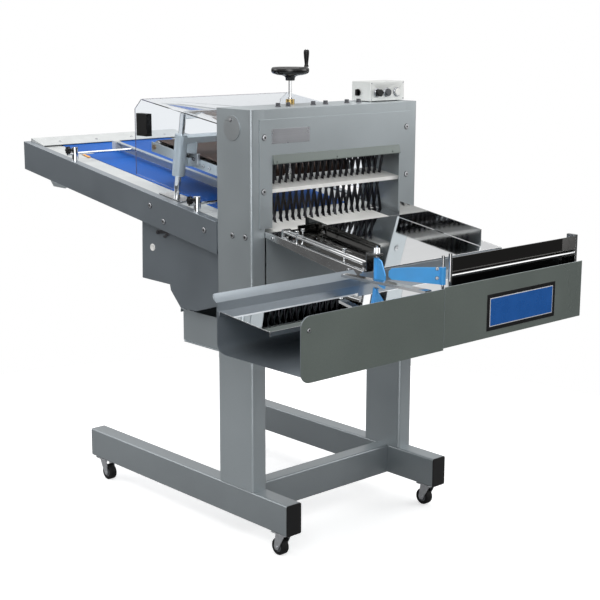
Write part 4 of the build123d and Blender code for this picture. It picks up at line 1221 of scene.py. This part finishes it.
class SLICER_OT_fasteners(PieceOperator):
    """Screws, bolts, side caps and the spindle nut"""
    bl_idname = "slicer.fasteners"
    bl_label = "Fasteners"

    def execute(self, context):
        def cap_offset(spot):
            """Distance in mm behind and above the small screw in a side cap."""
            return (spot.y - CENTRE_Y) / MM - CAP_SCREW[0], (spot.z - FEET_Z) / MM - CAP_SCREW[1]

        def kind(face, mesh):
            """Brass nut, painted side caps, dark bolts on the top, zinc for the rest."""
            x, y, z = face_centre(face, mesh)
            if math.hypot(x - SPINDLE[0], y - SPINDLE[1]) < 16:
                return 2
            reach = max(math.hypot(*cap_offset(mesh.vertices[i].co)) for i in face.vertices)
            if abs(x) > 359 and math.hypot(y - SIDE_CAP[0], z - SIDE_CAP[1]) < 38 and reach > 6.5:
                return 3
            return 1 if z > HEAD_TOP - 1 else 0

        dress("fasteners", [zinc(), dark_bolt(), brass(), cap_paint()], edge=0.0004, index=kind)
        self.heads()
        return {"FINISHED"}

    def heads(self):
        """Socket heads over the plain ones of the covers, columns, rails, arms and trough."""
        big, tall = sizes().cover_screw / 2, 0.0034
        for k, (x, z) in enumerate(((-308, 1202), (-311, 1040), (307, 1204), (310, 1048))):
            screw("cover_screw_%d" % k, (x, COVER_FACE, z), TO_FRONT, big, tall)
        places = ((5, 903), (-55.5, 904), (144, 903), (354, 906), (427, 951))
        for side, sign, turn in (("left", -1, TO_LEFT), ("right", 1, TO_RIGHT)):
            for k, (y, z) in enumerate(places):
                screw("%s_screw_%d" % (side, k), (sign * COLUMN_SIDE, y, z), turn, big, tall)
            for k, y in enumerate((-118, -444)):
                screw("%s_arm_screw_%d" % (side, k), (sign * 306, y, bed_top(y) - 11), turn, 0.0052, tall)
            screw(side + "_cap_screw", (sign * SIDE_CAP_FACE, *CAP_SCREW), turn, 0.0054, 0.0018)
        screw("trough_screw", (-804, TROUGH_FACE, 821), TO_FRONT, 0.0052, 0.0028)


class SLICER_OT_stage(bpy.types.Operator):
    """Floor, lights, world and camera"""
    bl_idname = "slicer.stage"
    bl_label = "Stage"

    def execute(self, context):
        self.floor()
        self.lamps()
        self.world()
        self.camera()
        context.scene.view_settings.view_transform = "Standard"
        return {"FINISHED"}

    def floor(self):
        """Round floor, white to the camera and greyer in what the model reflects."""
        bm = bmesh.new()
        bmesh.ops.create_circle(bm, cap_ends=True, segments=96, radius=FLOOR_RADIUS)
        mesh = bpy.data.meshes.new("floor")
        bm.to_mesh(mesh)
        bm.free()
        floor = bpy.data.objects.new("floor", mesh)
        bpy.context.scene.collection.objects.link(floor)
        made = bpy.data.materials.new("studio floor")
        made.use_nodes = True
        tree = made.node_tree
        shader = tree.nodes["Principled BSDF"]
        shader.inputs["Roughness"].default_value = 0.7
        shader.inputs["Specular IOR Level"].default_value = 0.2
        shader.inputs["Emission Color"].default_value = WHITE
        path = tree.nodes.new("ShaderNodeLightPath")
        seen = seen_directly(tree, path)
        gloss = math_node(tree, "MULTIPLY", path.outputs["Is Glossy Ray"], 0.12)
        glow = math_node(tree, "MAXIMUM", math_node(tree, "MULTIPLY", seen, 0.56), gloss)
        tree.links.new(glow, shader.inputs["Emission Strength"])
        ground = tree.nodes.new("ShaderNodeMix")
        ground.data_type = "RGBA"
        ground.inputs["A"].default_value = (0.86, 0.865, 0.87, 1)
        ground.inputs["B"].default_value = (0.28, 0.285, 0.29, 1)
        echo = math_node(tree, "MAXIMUM", path.outputs["Is Diffuse Ray"], path.outputs["Is Glossy Ray"])
        tree.links.new(echo, ground.inputs["Factor"])
        tree.links.new(ground.outputs["Result"], shader.inputs["Base Color"])
        mesh.materials.append(made)

    def lamps(self):
        plan = (("key", (-2.6, -2.6, 3.4), 2.2, 70.0), ("fill", (3.2, -2.2, 2.2), 2.4, 34.0),
                ("top", (0.3, 0.6, 4.0), 3.0, 62.0), ("back", (-2.2, 3.4, 2.6), 2.0, 30.0))
        for name, spot, size, power in plan:
            lamp = bpy.data.lights.new(name, "AREA")
            lamp.size = size
            lamp.energy = power
            lamp.color = (1.0, 0.995, 0.985)
            holder = bpy.data.objects.new(name, lamp)
            bpy.context.scene.collection.objects.link(holder)
            holder.location = spot
            toward = Vector((0, 0, 0.8)) - Vector(spot)
            holder.rotation_mode = "QUATERNION"
            holder.rotation_quaternion = toward.to_track_quat("-Z", "Y")

    def world(self):
        """White behind the model; metal sees a soft sky and one upright strip of light."""
        made = bpy.data.worlds.new("studio")
        bpy.context.scene.world = made
        made.use_nodes = True
        tree = made.node_tree
        tree.nodes.clear()
        path = tree.nodes.new("ShaderNodeLightPath")
        seen = seen_directly(tree, path)
        place = tree.nodes.new("ShaderNodeTexCoord").outputs["Generated"]
        split = tree.nodes.new("ShaderNodeSeparateXYZ")
        tree.links.new(place, split.inputs[0])
        sky = ramp(tree, split.outputs["Z"], (-0.05, 0.45), (0.12, 0.95), smooth=True)
        toward = tree.nodes.new("ShaderNodeVectorMath")
        toward.operation = "DOT_PRODUCT"
        tree.links.new(place, toward.inputs[0])
        toward.inputs[1].default_value = (-0.674, -0.738, 0.0)
        strip = ramp(tree, toward.outputs["Value"], (0.955, 0.98), (0.0, 4.0), smooth=True)
        lit = math_node(tree, "MAXIMUM", sky, strip)
        gloss = math_node(tree, "MULTIPLY", path.outputs["Is Glossy Ray"], lit)
        seen = math_node(tree, "MAXIMUM", seen, gloss)
        dome = ramp(tree, split.outputs["Z"], (-0.4, 0.6), (0.3, 0.62))
        soft = math_node(tree, "MULTIPLY", path.outputs["Is Diffuse Ray"], dome)
        level = math_node(tree, "MAXIMUM", seen, soft)
        glow = tree.nodes.new("ShaderNodeBackground")
        glow.inputs["Color"].default_value = WHITE
        tree.links.new(level, glow.inputs["Strength"])
        out = tree.nodes.new("ShaderNodeOutputWorld")
        tree.links.new(glow.outputs[0], out.inputs["Surface"])

    def camera(self):
        """Camera at the photograph's place; yaw and pitch are the view's, roll is its small tilt."""
        data = bpy.data.cameras.new("camera")
        data.sensor_width = 36.0
        data.lens = CAMERA_LENS
        data.clip_end = 100
        holder = bpy.data.objects.new("camera", data)
        bpy.context.scene.collection.objects.link(holder)
        yaw, pitch, roll = (math.radians(turn) for turn in (CAMERA_YAW, CAMERA_PITCH, CAMERA_ROLL))
        flat = math.cos(pitch)
        forward = Vector((math.sin(yaw) * flat, math.cos(yaw) * flat, -math.sin(pitch)))
        right = Vector((math.cos(yaw), -math.sin(yaw), 0))
        up = right.cross(forward)
        level_right = right * math.cos(roll) + up * math.sin(roll)
        level_up = up * math.cos(roll) - right * math.sin(roll)
        turn = Matrix((level_right, level_up, -forward)).transposed()
        holder.matrix_world = Matrix.Translation(at(*CAMERA_PLACE)) @ turn.to_4x4()
        bpy.context.scene.camera = holder


class SLICER_PT_panel(bpy.types.Panel):
    """Sizes, colours and the steps that make the slicer"""
    bl_label = "Band slicer"
    bl_space_type = "VIEW_3D"
    bl_region_type = "UI"
    bl_category = "Slicer"

    def draw(self, context):
        layout = self.layout
        for group in (context.scene.slicer_sizes, context.scene.slicer_colours):
            for name in group.__annotations__:
                layout.prop(group, name)
        for operator in OPERATORS:
            layout.operator(operator.bl_idname)


OPERATORS = (SLICER_OT_base, SLICER_OT_casters, SLICER_OT_head, SLICER_OT_blades, SLICER_OT_handwheel,
             SLICER_OT_controls, SLICER_OT_drive, SLICER_OT_infeed, SLICER_OT_lane, SLICER_OT_press,
             SLICER_OT_outfeed, SLICER_OT_trough, SLICER_OT_fingers, SLICER_OT_fasteners,
             SLICER_OT_stage)
CLASSES = (SlicerSizes, SlicerColours, *OPERATORS, SLICER_PT_panel)


def register():
    for item in CLASSES:
        bpy.utils.register_class(item)
    bpy.types.Scene.slicer_sizes = PointerProperty(type=SlicerSizes)
    bpy.types.Scene.slicer_colours = PointerProperty(type=SlicerColours)


def unregister():
    del bpy.types.Scene.slicer_colours
    del bpy.types.Scene.slicer_sizes
    for item in reversed(CLASSES):
        bpy.utils.unregister_class(item)


def main():
    """Make every piece in order."""
    register()
    GROUPS.update({"flake": flake_group(), "grain": grain_group(), "weave": weave_group(),
                   "moulded": moulded_group()})
    TREES["row"] = row_tree()
    for operator in OPERATORS:
        family, step = operator.bl_idname.split(".")
        getattr(getattr(bpy.ops, family), step)()
    bpy.context.view_layer.update()


if __name__ == "__main__":
    main()
